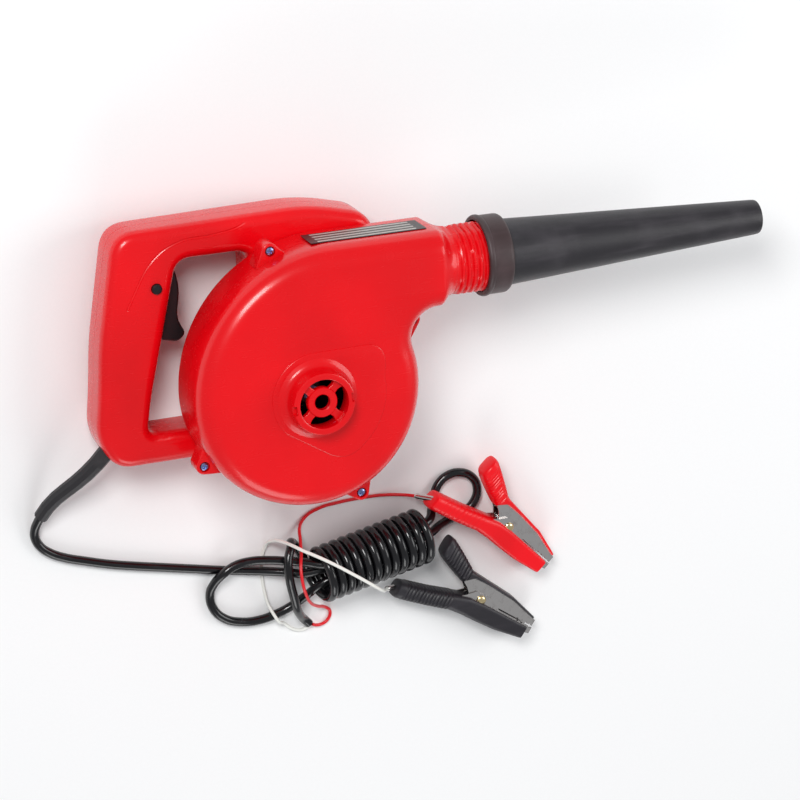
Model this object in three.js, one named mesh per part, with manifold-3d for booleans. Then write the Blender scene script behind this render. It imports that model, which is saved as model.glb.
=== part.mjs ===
// Hand-held 12 V car dryer blower with a D handle, a screw-on nozzle and battery clamps.
// Millimetres. The fan axis is Z: z = 0 is the flat end of the motor cover, and the air intake
// faces +Z. +X runs out along the nozzle, and +Y points to the top bar of the handle.

import * as THREE from 'three';
import { mergeVertices } from 'three/addons/utils/BufferGeometryUtils.js';
import Module from 'manifold-3d';

const wasm = await Module();
wasm.setup();

// ---- Driving dimensions ---------------------------------------------------------------------

const GAP = 0.3; // between pieces that touch
const WALL = 2.6; // moulded housings

// Volute: the scroll-shaped chamber round the fan
const VOLUTE_BACK = 46;
const VOLUTE_DEPTH = 51;
const VOLUTE_RIGHT = 71; // radius towards +X
const VOLUTE_BOTTOM = 73.5;
const VOLUTE_LEFT = 76;
const FRONT_ROUND = 13;
const BACK_ROUND = 6;
const THROAT_FILLET = 18; // between the round side and the underside of the outlet

// Outlet, with its thread for the nozzle collar
const OUTLET_Y = 69; // axis of the outlet
const OUTLET_HALF = 24.6; // half height of the duct
const DUCT_END = 98;
const THREAD_LENGTH = 33;
const THREAD_CREST = 22.8;
const THREAD_DEPTH = 1.4;
const THREAD_PITCH = 4;

// Nozzle and its collar
const COLLAR_LENGTH = 17;
const COLLAR_WALL = 2.2;
const COLLAR_SETBACK = 13; // thread left bare behind the collar, up to its edge
const NOZZLE_LENGTH = 183;
const NOZZLE_BASE = 21.3;
const NOZZLE_TIP = 11.2;
const NOZZLE_WALL = 2;

// Intake on the front cover
const BOSS_RADIUS = 20;
const BOSS_HEIGHT = 14;
const BOSS_WALL = 4.3;
const BOSS_FOOT = 5; // how far the foot of the boss flares
const GRILLE_DEPTH = 4.8; // below the rim of the boss
const GRILLE_THICKNESS = 3;
const HUB_RADIUS = 9.7;
const HUB_HOLE = 5;
const SPOKE_WIDTH = 4.5;

// Motor cover and handle
const COVER_RADIUS = 46; // motor cover; the lower bar of the handle is level with it
const COVER_FLAT = 36;
const HANDLE_BACK = 12;
const HANDLE_DEPTH = 36;
const HANDLE_ROUND = 7;
const GRIP_LEAN = 13.8; // degrees between the front of the grip and Y
const VENT_WIDTH = 3.2;

// Fan and motor
const FAN_RADIUS = 57;
const FAN_EYE = 17;
const FAN_HEIGHT = 36;
const BLADE_COUNT = 9;
const BLADE_THICKNESS = 1.8;
const SHAFT_RADIUS = 2.5;
const MOTOR_RADIUS = 28;
const MOTOR_WALL = 1.6;
const MAGNET_THICKNESS = 4;
const ARMATURE_RADIUS = 20.5;

// Trigger, switch and lock button
const TRIGGER_WIDTH = 15;
const TRIGGER_HALF = 23; // half its length along the grip
const TRIGGER_TRAVEL = 6;
const LOCK_RADIUS = 3.2;

// Screws
const SCREW_RADIUS = 1.5;
const SCREW_HEAD = 2.7;
const HEAD_HEIGHT = 1.8;
const LUG_REACH = 10; // from a screw to the tip of its lug
const LUG_BASE = 13; // half the width of a lug where it leaves the wall

// Cord
const CORD_RADIUS = 3;
const WIRE_RADIUS = 1.1;
const GUARD_RADIUS = 5.6;
const GUARD_TIP = 4.6;
const HANK_HALF_WIDTH = 20;
const HANK_HEIGHT = 37;
const HANK_START = [14, -152.5];
const HANK_END = [101, -133.5];

// Battery clamps
const JAW_LENGTH = 45; // from the pivot to the teeth
const ARM_LENGTH = 57; // from the pivot to the end of the cable-side grip
const SHORT_ARM = 41;
const ARM_SPREAD = 20; // of each arm's end from the clamp's middle line
const JAW_HALF = 6; // half the width of the outer sheet-metal half
const SHEET = 1;
const SLEEVE_WALL = 2.2;
const PIVOT_RADIUS = 1.7;

// ---- Values worked out from them ------------------------------------------------------------

const VOLUTE_FRONT = VOLUTE_BACK + VOLUTE_DEPTH;
const PARTING = VOLUTE_BACK + VOLUTE_DEPTH / 2;
const OUTLET_TOP = OUTLET_Y + OUTLET_HALF;
const OUTLET_BOTTOM = OUTLET_Y - OUTLET_HALF;
const OUTLET_END = DUCT_END + THREAD_LENGTH;
const OUTLET_BORE = THREAD_CREST - THREAD_DEPTH - WALL;
const THROAT = {
  y: OUTLET_BOTTOM - THROAT_FILLET,
  x: Math.sqrt((VOLUTE_RIGHT + THROAT_FILLET) ** 2 - (OUTLET_BOTTOM - THROAT_FILLET) ** 2),
};
const COLLAR_START = OUTLET_END - COLLAR_SETBACK;
const COLLAR_END = COLLAR_START + COLLAR_LENGTH;
const COLLAR_INNER = THREAD_CREST + GAP;
const BOSS_TOP = VOLUTE_FRONT + BOSS_HEIGHT;
const GRILLE_TOP = BOSS_TOP - GRILLE_DEPTH;
const HANDLE_FRONT = HANDLE_BACK + HANDLE_DEPTH;
const HANDLE_SPLIT = HANDLE_BACK + HANDLE_DEPTH / 2;
const LUG_TOP = PARTING + 5.5;
const LUG_BOTTOM = PARTING - 9;
const CAN_TOP = VOLUTE_BACK - GAP;
const CAN_BOTTOM = 10;
const FAN_BACK = VOLUTE_BACK + WALL + 3.4;
const FAN_FRONT = FAN_BACK + FAN_HEIGHT;
const LEAN = THREE.MathUtils.degToRad(GRIP_LEAN);

// ---- Shape helpers --------------------------------------------------------------------------

const ARC_STEPS = 5; // for a corner of an outline: a quarter of an ellipse takes twice as many
const ROUND_STEPS = 3;

/** A closed geometry as a solid that can be cut and joined, with its faces turned outwards. */
function solid(geometry) {
  const bare = geometry.clone();
  bare.deleteAttribute('normal');
  bare.deleteAttribute('uv');
  const merged = mergeVertices(bare, 1e-4);
  const points = merged.attributes.position.array;
  const faces = [];
  let volume = 0;
  const corner = (i) => new THREE.Vector3().fromArray(points, 3 * i);
  for (let i = 0; i < merged.index.count; i += 3) {
    const [a, b, c] = merged.index.array.slice(i, i + 3);
    if (a === b || b === c || c === a) continue;
    faces.push([a, b, c]);
    volume += corner(a).dot(corner(b).cross(corner(c)));
  }
  const triVerts = Uint32Array.from(faces.flatMap(([a, b, c]) => (volume > 0 ? [a, b, c] : [a, c, b])));
  return new wasm.Manifold(new wasm.Mesh({ numProp: 3, vertProperties: Float32Array.from(points), triVerts }));
}

/** One solid from several pieces. */
const join = (...pieces) => pieces.reduce((whole, piece) => whole.add(piece));

/** A solid with others cut away. */
const cut = (body, ...tools) => tools.reduce((rest, tool) => rest.subtract(tool), body);

/** A block between two corners. */
function block([x0, y0, z0], [x1, y1, z1]) {
  const geometry = new THREE.BoxGeometry(x1 - x0, y1 - y0, z1 - z0);
  return solid(geometry.translate((x0 + x1) / 2, (y0 + y1) / 2, (z0 + z1) / 2));
}

/** An outline raised from one height to another, with rounded edges, or drawn in by an inset. */
function prism(shape, bottom, top, { round = 0, inset = 0, roundSteps = 1, arcSteps = ARC_STEPS } = {}) {
  const geometry = new THREE.ExtrudeGeometry(shape, {
    depth: top - bottom - 2 * round,
    curveSegments: arcSteps,
    bevelEnabled: round > 0 || inset > 0,
    bevelThickness: round,
    bevelSize: round,
    bevelOffset: -round - inset,
    bevelSegments: roundSteps,
  });
  return solid(geometry.translate(0, 0, bottom + round));
}

/** A profile of [radius, height] points turned about Z, or about X where along is 'x'. */
function turn(profile, segments = 32, along = 'z') {
  const geometry = new THREE.LatheGeometry(profile.map(([r, h]) => new THREE.Vector2(r, h)), segments);
  geometry.rotateX(Math.PI / 2);
  if (along === 'x') geometry.rotateY(Math.PI / 2);
  return solid(geometry);
}

/** A plain round bar between two heights. */
const bar = (radius, from, to, segments = 24, along = 'z') =>
  turn([[0, from], [radius, from], [radius, to], [0, to]], segments, along);

/** A ring between two heights. */
const ring = (outer, inner, from, to, segments = 32, along = 'z') =>
  turn([[inner, from], [outer, from], [outer, to], [inner, to], [inner, from]], segments, along);

/** A closed skin through rings of points, each with the same count. */
function loft(rings) {
  const count = rings[0].length;
  const last = (rings.length - 1) * count;
  const index = [];
  for (let r = 0; r < rings.length - 1; r += 1) {
    for (let i = 0; i < count; i += 1) {
      const a = r * count + i;
      const b = r * count + (i + 1) % count;
      index.push(a, b, a + count, b, b + count, a + count);
    }
  }
  for (let i = 1; i < count - 1; i += 1) index.push(0, i + 1, i, last, last + i, last + i + 1);
  const geometry = new THREE.BufferGeometry();
  geometry.setAttribute('position', new THREE.Float32BufferAttribute(rings.flat().flatMap((p) => p.toArray()), 3));
  geometry.setIndex(index);
  return solid(geometry);
}

/** A smooth curve through [x, y, z] points. */
const route = (points) =>
  new THREE.CatmullRomCurve3(points.map((p) => new THREE.Vector3(...p)), false, 'centripetal');

/** A tube of one radius along a curve. */
function tube(curve, radius, sides, steps) {
  const section = new THREE.Shape();
  for (let i = 0; i < sides; i += 1) {
    const angle = (2 * Math.PI * i) / sides;
    const [x, y] = [radius * Math.cos(angle), radius * Math.sin(angle)];
    if (i === 0) section.moveTo(x, y);
    else section.lineTo(x, y);
  }
  return solid(new THREE.ExtrudeGeometry(section, { extrudePath: curve, steps, bevelEnabled: false }));
}

/** A tube that narrows evenly along a curve. */
function taperedTube(curve, from, to, sides, steps) {
  const { normals, binormals } = curve.computeFrenetFrames(steps, false);
  return loft(Array.from({ length: steps + 1 }, (_, s) => {
    const radius = THREE.MathUtils.lerp(from, to, s / steps);
    const centre = curve.getPointAt(s / steps);
    return Array.from({ length: sides }, (_, i) => {
      const angle = (2 * Math.PI * i) / sides;
      return centre.clone()
        .addScaledVector(normals[s], radius * Math.cos(angle))
        .addScaledVector(binormals[s], radius * Math.sin(angle));
    });
  }));
}

/** A polygon with rounded corners, from [x, y, distance cut off each side of the corner]. */
function roundedPolygon(corners) {
  const shape = new THREE.Shape();
  corners.forEach(([x, y, cutOff = 0], i) => {
    const here = new THREE.Vector2(x, y);
    const towards = (other) => new THREE.Vector2(other[0], other[1]).sub(here).setLength(cutOff).add(here);
    const before = cutOff > 0 ? towards(corners.at(i - 1)) : here;
    if (i === 0) shape.moveTo(before.x, before.y);
    else shape.lineTo(before.x, before.y);
    if (cutOff > 0) {
      const after = towards(corners[(i + 1) % corners.length]);
      shape.quadraticCurveTo(x, y, after.x, after.y);
    }
  });
  return shape;
}

/** A solid placed by a turn about Z in radians and a shift. */
function placed(body, [x, y, z], angle = 0) {
  const matrix = new THREE.Matrix4().makeRotationZ(angle).setPosition(x, y, z);
  return body.transform(matrix.elements);
}

/** A mirror image across the plane y = 0. */
const mirrored = (body) => body.mirror([0, 1, 0]);

// ---- Scene graph ----------------------------------------------------------------------------

const blower = new THREE.Group();

const finish = (color, roughness, metalness = 0) =>
  new THREE.MeshStandardMaterial({ color, roughness, metalness });

const RED = finish(0xe01b2b, 0.22);
const CHARCOAL = finish(0x2f2d31, 0.55);
const TAUPE = finish(0x4e3f41, 0.45);
const BLACK = finish(0x1b1a1c, 0.35);
const WHITE = finish(0xe9e8e2, 0.4);
const ZINC = finish(0xa9b3cc, 0.3, 1);
const STEEL = finish(0x9a9a9c, 0.35, 1);
const COPPER = finish(0xb5683c, 0.35, 1);
const BRASS = finish(0xc8a24e, 0.3, 1);
const FERRITE = finish(0x3a3836, 0.7);

/** Adds a solid to a group as a named mesh. */
function add(name, body, material, group = blower) {
  const { vertProperties, triVerts } = body.getMesh();
  const geometry = new THREE.BufferGeometry();
  geometry.setAttribute('position', new THREE.BufferAttribute(vertProperties, 3));
  geometry.setIndex(new THREE.BufferAttribute(triVerts, 1));
  geometry.computeVertexNormals();
  const mesh = new THREE.Mesh(geometry, material);
  mesh.name = name;
  group.add(mesh);
}

// ---- Screws ---------------------------------------------------------------------------------

/** A pan-head screw pointing down -Z with its head's underside at z = 0, and a cross recess. */
function screw(length) {
  const body = turn([
    [0, -length], [SCREW_RADIUS, 2 - length], [SCREW_RADIUS, 0], [SCREW_HEAD, 0],
    [SCREW_HEAD, HEAD_HEIGHT * 0.5], [SCREW_HEAD * 0.7, HEAD_HEIGHT], [0, HEAD_HEIGHT],
  ], 8);
  const arm = (w, h) => block([-w, -h, HEAD_HEIGHT * 0.35], [w, h, HEAD_HEIGHT + 1]);
  return cut(body, arm(SCREW_HEAD * 0.6, 0.4), arm(0.4, SCREW_HEAD * 0.6));
}

/** The screws that hold the front cover, where they stand and the way their lugs point. */
const COVER_SCREWS = [
  { x: -19.5, y: OUTLET_TOP - 2, lean: 1.78 },
  { x: VOLUTE_RIGHT + 0.8, y: OUTLET_BOTTOM - 9.7, lean: 0.45 },
  { x: 6.8 - VOLUTE_LEFT, y: -41, lean: -2.61 },
  { x: 33.2, y: -1.3 - VOLUTE_BOTTOM, lean: -1.15 },
];
const COVER_SCREW_LENGTH = 12;
const LUG_COUNTERBORE = 2.4;

/** The rounded triangle that carries a cover screw. */
function lugOutline({ x, y, lean }) {
  const outward = new THREE.Vector2(Math.cos(lean), Math.sin(lean));
  const tip = [x + outward.x * LUG_REACH, y + outward.y * LUG_REACH, LUG_REACH * 0.75];
  const base = [x - outward.x * LUG_BASE, y - outward.y * LUG_BASE];
  const side = [-outward.y * LUG_BASE, outward.x * LUG_BASE];
  return roundedPolygon([tip, [base[0] + side[0], base[1] + side[1], 1], [base[0] - side[0], base[1] - side[1], 1]]);
}

/** The screws between the two halves of the handle, driven from the back. */
const HANDLE_SCREWS = [
  { x: -101, y: 90 }, { x: -115.5, y: -13 }, { x: -66, y: -33.5 }, { x: 30, y: OUTLET_TOP + 3.4 },
];
const HANDLE_SCREW_LENGTH = 26;
const BOSS_PILLAR = 4.3;
const HANDLE_COUNTERBORE = 4;

// ---- Housings -------------------------------------------------------------------------------

/** Plan of the volute and the start of its outlet duct. */
function voluteOutline() {
  const shape = new THREE.Shape();
  const meeting = Math.atan2(THROAT.y, THROAT.x);
  shape.moveTo(THROAT.x, OUTLET_TOP);
  shape.lineTo(THROAT.x, OUTLET_BOTTOM);
  shape.absarc(THROAT.x, THROAT.y, THROAT_FILLET, Math.PI / 2, Math.PI + meeting, false);
  shape.absarc(0, 0, VOLUTE_RIGHT, meeting, 0, true);
  shape.absellipse(0, 0, VOLUTE_RIGHT, VOLUTE_BOTTOM, 0, -Math.PI / 2, true);
  shape.absellipse(0, 0, VOLUTE_LEFT, VOLUTE_BOTTOM, -Math.PI / 2, -Math.PI, true);
  shape.absellipse(OUTLET_TOP - VOLUTE_LEFT, 0, OUTLET_TOP, OUTLET_TOP, Math.PI, Math.PI / 2, true);
  return shape;
}

/** The duct from the volute's rounded rectangle to the round outlet, drawn in by an inset. */
function duct(inset, startX, endX) {
  const sections = 3;
  const sides = 24;
  return loft(Array.from({ length: sections + 1 }, (_, s) => {
    const t = s / sections;
    const x = THREE.MathUtils.lerp(startX, endX, t);
    const ease = THREE.MathUtils.smoothstep(x, THROAT.x - FRONT_ROUND, DUCT_END);
    const power = THREE.MathUtils.lerp(4.2, 2, ease);
    const root = THREAD_CREST - THREAD_DEPTH;
    const halfY = THREE.MathUtils.lerp(OUTLET_HALF, root + 0.6, ease ** 3) - inset;
    const halfZ = THREE.MathUtils.lerp(VOLUTE_DEPTH / 2, root + 0.6, ease ** 2) - inset;
    return Array.from({ length: sides }, (_, i) => {
      const angle = (2 * Math.PI * i) / sides;
      const bulge = (v) => Math.sign(v) * Math.abs(v) ** (2 / power);
      return new THREE.Vector3(x, OUTLET_Y + halfY * bulge(Math.cos(angle)), PARTING + halfZ * bulge(Math.sin(angle)));
    });
  }));
}

/** The threaded tube of the outlet: plain rings stand for the screw thread. */
function threadedTube() {
  const root = THREAD_CREST - THREAD_DEPTH;
  const profile = [[OUTLET_BORE, DUCT_END - 2], [root, DUCT_END - 2]];
  for (let x = DUCT_END + THREAD_PITCH; x < COLLAR_START; x += THREAD_PITCH) {
    profile.push([root, x - 1.5], [THREAD_CREST, x], [root, x + 1.5]);
  }
  profile.push([root, OUTLET_END], [OUTLET_BORE, OUTLET_END], [OUTLET_BORE, DUCT_END - 2]);
  return turn(profile, 24, 'x').translate([0, OUTLET_Y, PARTING]);
}

/** The hollow volute with its outlet, rounded on the side named, before it is parted. */
function voluteShell(round) {
  const outline = voluteOutline();
  const outer = prism(outline, VOLUTE_BACK, VOLUTE_FRONT, { round, roundSteps: ROUND_STEPS });
  const inner = prism(outline, VOLUTE_BACK + WALL, VOLUTE_FRONT - WALL, { round: round - WALL, inset: WALL });
  const ductStart = THROAT.x - FRONT_ROUND;
  const shell = cut(join(outer, duct(0, ductStart, DUCT_END)), inner, duct(WALL, ductStart - 3, DUCT_END + 0.1));
  const bore = bar(OUTLET_BORE, DUCT_END - 8, OUTLET_END + 1, 24, 'x').translate([0, OUTLET_Y, PARTING]);
  return join(cut(shell, bore), threadedTube());
}

/** Everything in front of, or behind, a height. */
const FAR = 400;
const infrontOf = (z) => block([-FAR, -FAR, z], [FAR, FAR, FAR]);
const behind = (z) => block([-FAR, -FAR, -FAR], [FAR, FAR, z]);

/** The air intake: a boss with a recessed grille of four spokes round a hub. */
function intake() {
  const foot = BOSS_RADIUS + BOSS_FOOT;
  const inner = BOSS_RADIUS - BOSS_WALL;
  const boss = turn([
    [inner, VOLUTE_FRONT - WALL / 2], [foot, VOLUTE_FRONT - WALL / 2], [foot, VOLUTE_FRONT + 0.6],
    [BOSS_RADIUS + 1.6, VOLUTE_FRONT + 1.6], [BOSS_RADIUS, VOLUTE_FRONT + 3.6], [BOSS_RADIUS, BOSS_TOP - 0.6],
    [BOSS_RADIUS - 0.6, BOSS_TOP], [inner, BOSS_TOP], [inner, VOLUTE_FRONT - WALL / 2],
  ], 32);
  const grilleBack = GRILLE_TOP - GRILLE_THICKNESS;
  const hub = ring(HUB_RADIUS, HUB_HOLE, grilleBack, GRILLE_TOP + 1, 16);
  const spoke = block([HUB_RADIUS - 1, -SPOKE_WIDTH / 2, grilleBack], [inner + 1, SPOKE_WIDTH / 2, GRILLE_TOP]);
  const spokes = [1, 3, 5, 7].map((n) => placed(spoke, [0, 0, 0], (n * Math.PI) / 4));
  const notch = block([BOSS_RADIUS - 2.2, -3, BOSS_TOP - 3.4], [BOSS_RADIUS + 1, 3, BOSS_TOP + 1]);
  const notches = [0.1, Math.PI + 0.1].map((angle) => placed(notch, [0, 0, 0], angle));
  return cut(join(boss, hub, ...spokes), ...notches);
}

/** The front cover: the front half of the volute with the intake and four screw lugs. */
function fanCover() {
  const half = voluteShell(FRONT_ROUND).intersect(infrontOf(PARTING + GAP / 2));
  const opening = bar(BOSS_RADIUS - BOSS_WALL, VOLUTE_FRONT - WALL - 1, VOLUTE_FRONT + 1, 36);
  const cavity = prism(voluteOutline(), PARTING - 1, PARTING + 12, { inset: WALL });
  const lugs = COVER_SCREWS.map((spot) => cut(prism(lugOutline(spot), PARTING + GAP / 2, LUG_TOP), cavity));
  const holes = COVER_SCREWS.flatMap(({ x, y }) => [
    bar(SCREW_RADIUS + GAP, PARTING - 1, LUG_TOP + 1, 10).translate([x, y, 0]),
    bar(SCREW_HEAD + 0.6, LUG_TOP - LUG_COUNTERBORE, LUG_TOP + 1, 14).translate([x, y, 0]),
  ]);
  return cut(join(cut(half, opening), intake(), ...lugs), ...holes);
}

/** Plan of the D handle and the neck that carries it, and of its finger opening. */
const HANDLE_OUTLINE = [
  [-117, -COVER_RADIUS, 11], [10, -COVER_RADIUS], [34, -26], [44, 20], [46, 66], [63, 82, 9],
  [55, 99, 9], [18, 108.5, 18], [-110, 106, 15], [-123, 33, 14], [-125, 6, 9], [-128.5, -25, 11],
];
const HANDLE_TOP_Y = 84.5; // underside of the top bar
const OPENING_OUTLINE = [
  [-95.5, -26, 7], [-24, -26, 1], [-24, HANDLE_TOP_Y, 8], [-70, HANDLE_TOP_Y, 9], [-91, -1.5, 8],
];

/** The handle and the motor cover's upper part as one hollow body. */
function handleShell() {
  const outline = roundedPolygon(HANDLE_OUTLINE);
  outline.holes.push(roundedPolygon(OPENING_OUTLINE));
  const outer = prism(outline, HANDLE_BACK, HANDLE_FRONT, { round: HANDLE_ROUND, roundSteps: ROUND_STEPS });
  const inner = prism(outline, HANDLE_BACK + WALL, HANDLE_FRONT - WALL, { round: HANDLE_ROUND - WALL, inset: WALL });
  const drum = bar(COVER_RADIUS, HANDLE_BACK, VOLUTE_BACK + 1, 36);
  const room = bar(COVER_RADIUS - WALL, HANDLE_BACK - 1, VOLUTE_BACK, 36);
  return { solid: join(outer, drum), hollow: join(inner, room) };
}

/** The pillars round the handle screws, in a span of height. */
const pillars = (from, to) => HANDLE_SCREWS.map(({ x, y }) => bar(BOSS_PILLAR, from, to, 10).translate([x, y, 0]));

/** Holes along the handle screws: clear for the shank, and counterbored for the head. */
const handleHoles = () => HANDLE_SCREWS.flatMap(({ x, y }) => [
  bar(SCREW_RADIUS + GAP, HANDLE_BACK - 1, HANDLE_BACK + HANDLE_COUNTERBORE + HANDLE_SCREW_LENGTH + 1, 8)
    .translate([x, y, 0]),
  bar(SCREW_HEAD + GAP, HANDLE_BACK - 1, HANDLE_BACK + HANDLE_COUNTERBORE, 12).translate([x, y, 0]),
]);

// The trigger's own frame: x out of the grip towards the fingers, y up along the grip
const TRIGGER_SPOT = [-77.2, 55, HANDLE_SPLIT];

/** The slot in the front of the grip that the trigger slides in. */
function triggerSlot() {
  const half = TRIGGER_WIDTH / 2 + GAP;
  const length = TRIGGER_HALF + GAP;
  return placed(block([-WALL - 6, -length, -half], [20, length, half]), TRIGGER_SPOT, -LEAN);
}

const LOCK_SPOT = [-85, 69];

// The cord leaves the lower back corner of the grip through its guard
const GUARD_ROUTE = [
  [-104, -20.7, 30], [-114, -31.7, 30], [-123, -41.6, 30], [-131, -50, 27.8], [-139.5, -58.2, 23.4],
  [-149, -67, 17.2], [-156, -75.5, 12.2], [-160, -82.5, 8.9],
];
const guardCurve = route(GUARD_ROUTE);
const GUARD_HEEL = 0.17; // share of the route, inside the wall, where the guard's flange sits

/** The hole for the cord guard. */
function guardHole() {
  const heel = guardCurve.getPointAt(GUARD_HEEL);
  const outside = heel.clone().addScaledVector(guardCurve.getTangentAt(GUARD_HEEL), 22);
  return tube(new THREE.LineCurve3(heel, outside), GUARD_RADIUS + GAP, 12, 1);
}

/** The front half of the handle with the back half of the volute. */
function frontHousing() {
  const { solid: outer, hollow } = handleShell();
  const volute = voluteShell(BACK_ROUND).intersect(behind(PARTING - GAP / 2));
  const cavity = prism(voluteOutline(), VOLUTE_BACK + WALL, PARTING + 1, { inset: WALL });
  const lugs = COVER_SCREWS.map((spot) => cut(prism(lugOutline(spot), LUG_BOTTOM, PARTING - GAP / 2), cavity));
  const screwHoles = COVER_SCREWS.map(({ x, y }) =>
    bar(SCREW_RADIUS + GAP, LUG_BOTTOM - 2, PARTING + 1, 10).translate([x, y, 0]));
  const half = cut(outer, hollow).intersect(infrontOf(HANDLE_SPLIT + GAP / 2));
  const posts = pillars(HANDLE_SPLIT + GAP / 2, HANDLE_FRONT - WALL / 2);
  const shaftHole = bar(MOTOR_BOSS + GAP, VOLUTE_BACK - 1, VOLUTE_BACK + WALL + 1, 24);
  const lockHole = bar(LOCK_RADIUS + GAP, HANDLE_SPLIT, HANDLE_FRONT + 1, 14).translate([...LOCK_SPOT, 0]);
  const mountHoles = MOTOR_SCREWS.map((angle) => placed(
    bar(SCREW_RADIUS + GAP, VOLUTE_BACK - 1, VOLUTE_BACK + WALL + 1, 12).translate([MOTOR_SCREW_RADIUS, 0, 0]),
    [0, 0, 0], angle));
  return cut(
    join(half, volute, ...lugs, ...posts),
    ...screwHoles, ...handleHoles(), shaftHole, lockHole, ...mountHoles, triggerSlot(), guardHole(),
  );
}

/** The motor cover with the back half of the handle. */
function rearHousing() {
  const { solid: outer, hollow } = handleShell();
  const half = cut(outer, hollow).intersect(behind(HANDLE_SPLIT - GAP / 2));
  const doorway = block([-36, WALL - COVER_RADIUS, HANDLE_BACK + 4], [-14, -30, HANDLE_SPLIT + 1]);
  const dome = turn([
    [0, 0], [COVER_FLAT, 0], [COVER_RADIUS - 6, 1.4], [COVER_RADIUS - 2.4, 4.6], [COVER_RADIUS - 0.6, 9],
    [COVER_RADIUS, HANDLE_BACK + 2], [COVER_RADIUS, HANDLE_SPLIT - GAP / 2], [0, HANDLE_SPLIT - GAP / 2],
  ], 36);
  const room = turn([
    [0, WALL], [COVER_FLAT - 1, WALL], [COVER_RADIUS - 4.6, 7], [COVER_RADIUS - WALL, HANDLE_BACK + 1],
    [COVER_RADIUS - WALL, HANDLE_SPLIT + 1], [0, HANDLE_SPLIT + 1],
  ], 36);
  const rib = block([MOTOR_RADIUS + GAP, -1, WALL / 2], [COVER_RADIUS - WALL / 2, 1, HANDLE_SPLIT - 6]);
  const ribs = [0, 1, 2, 3].map((n) => placed(rib, [0, 0, 0], (n * Math.PI) / 2 + 0.5));
  const sideVent = block([COVER_RADIUS - 12, -VENT_WIDTH / 2, 6.4], [COVER_RADIUS + 2, VENT_WIDTH / 2, 11]);
  const sideVents = Array.from({ length: 9 }, (_, n) => placed(sideVent, [0, 0, 0], -1.3 + n * 0.31));
  const endVent = block([17, -VENT_WIDTH / 2, -1], [30, VENT_WIDTH / 2, WALL + 1]);
  const endVents = Array.from({ length: 8 }, (_, n) => placed(endVent, [0, 0, 0], (n * Math.PI) / 4));
  const posts = pillars(HANDLE_BACK + WALL / 2, HANDLE_SPLIT - GAP / 2);
  const shell = join(cut(join(half, dome), room, doorway), ...ribs, ...posts);
  return cut(shell, ...sideVents, ...endVents, ...handleHoles(), triggerSlot(), guardHole());
}

// ---- Fan and motor --------------------------------------------------------------------------

const MOTOR_BOSS = 7;
const MOTOR_SCREWS = [0.6, 0.6 + Math.PI];
const MOTOR_SCREW_RADIUS = 15;
const END_CAP_HEIGHT = 4;
const COMMUTATOR_RADIUS = 8;

/** The fan wheel: a back plate with curved blades round an open eye. */
function impeller() {
  const bore = SHAFT_RADIUS + GAP;
  const plate = ring(FAN_RADIUS, bore, FAN_BACK, FAN_BACK + 2, 32);
  const hub = ring(8, bore, FAN_BACK + 1, FAN_FRONT - 8, 12);
  const outer = FAN_RADIUS - 1;
  const bend = new THREE.QuadraticBezierCurve(
    new THREE.Vector2(FAN_EYE, 0), new THREE.Vector2(outer * 0.62, 2), new THREE.Vector2(outer * 0.94, outer * 0.3));
  const side = (offset) => bend.getPoints(3).map((p) => new THREE.Vector2(p.x, p.y + offset));
  const outline = new THREE.Shape([...side(-BLADE_THICKNESS / 2), ...side(BLADE_THICKNESS / 2).reverse()]);
  const blade = prism(outline, FAN_BACK + 1, FAN_FRONT);
  const blades = Array.from({ length: BLADE_COUNT }, (_, n) =>
    placed(blade, [0, 0, 0], (2 * Math.PI * n) / BLADE_COUNT));
  const web = block([6, -1, FAN_BACK + 1], [FAN_EYE + 1, 1, FAN_BACK + 8]);
  const webs = Array.from({ length: BLADE_COUNT }, (_, n) => placed(web, [0, 0, 0], (2 * Math.PI * n) / BLADE_COUNT));
  return join(plate, hub, ...blades, ...webs);
}

/** Hexagonal nut on the end of the shaft. */
const fanNut = () => cut(
  bar(5.2, FAN_FRONT - 8 + GAP, FAN_FRONT - 3, 6),
  bar(SHAFT_RADIUS + GAP, FAN_FRONT - 9, FAN_FRONT, 20),
);

/** The drawn steel can of the motor, with its nose boss and two screw holes. */
function motorCan() {
  const inner = MOTOR_RADIUS - MOTOR_WALL;
  const can = turn([
    [MOTOR_BOSS - 2, CAN_TOP - 2], [inner, CAN_TOP - 2], [inner, CAN_BOTTOM], [MOTOR_RADIUS, CAN_BOTTOM],
    [MOTOR_RADIUS, CAN_TOP - 1], [MOTOR_RADIUS - 1, CAN_TOP], [MOTOR_BOSS, CAN_TOP],
    [MOTOR_BOSS, CAN_TOP + 2.4], [MOTOR_BOSS - 2, CAN_TOP + 2.4], [MOTOR_BOSS - 2, CAN_TOP - 2],
  ], 24);
  const holes = MOTOR_SCREWS.map((angle) => placed(
    bar(SCREW_RADIUS + GAP, CAN_TOP - 3, CAN_TOP + 1, 12).translate([MOTOR_SCREW_RADIUS, 0, 0]), [0, 0, 0], angle));
  return cut(can, ...holes);
}

/** The moulded end of the motor that carries the brushes. */
function motorEndCap() {
  const base = CAN_BOTTOM - END_CAP_HEIGHT;
  const plate = ring(MOTOR_RADIUS, MOTOR_BOSS - 2, base, CAN_BOTTOM - GAP, 24);
  const holders = [0, Math.PI].map((angle) => placed(
    cut(block([COMMUTATOR_RADIUS + 1, -4, base + 1], [MOTOR_RADIUS - MAGNET_THICKNESS - 3, 4, CAN_BOTTOM + 7]),
      block([0, -2.5, CAN_BOTTOM + 1], [MOTOR_RADIUS, 2.5, CAN_BOTTOM + 5])),
    [0, 0, 0], angle));
  return join(plate, ...holders);
}

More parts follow.
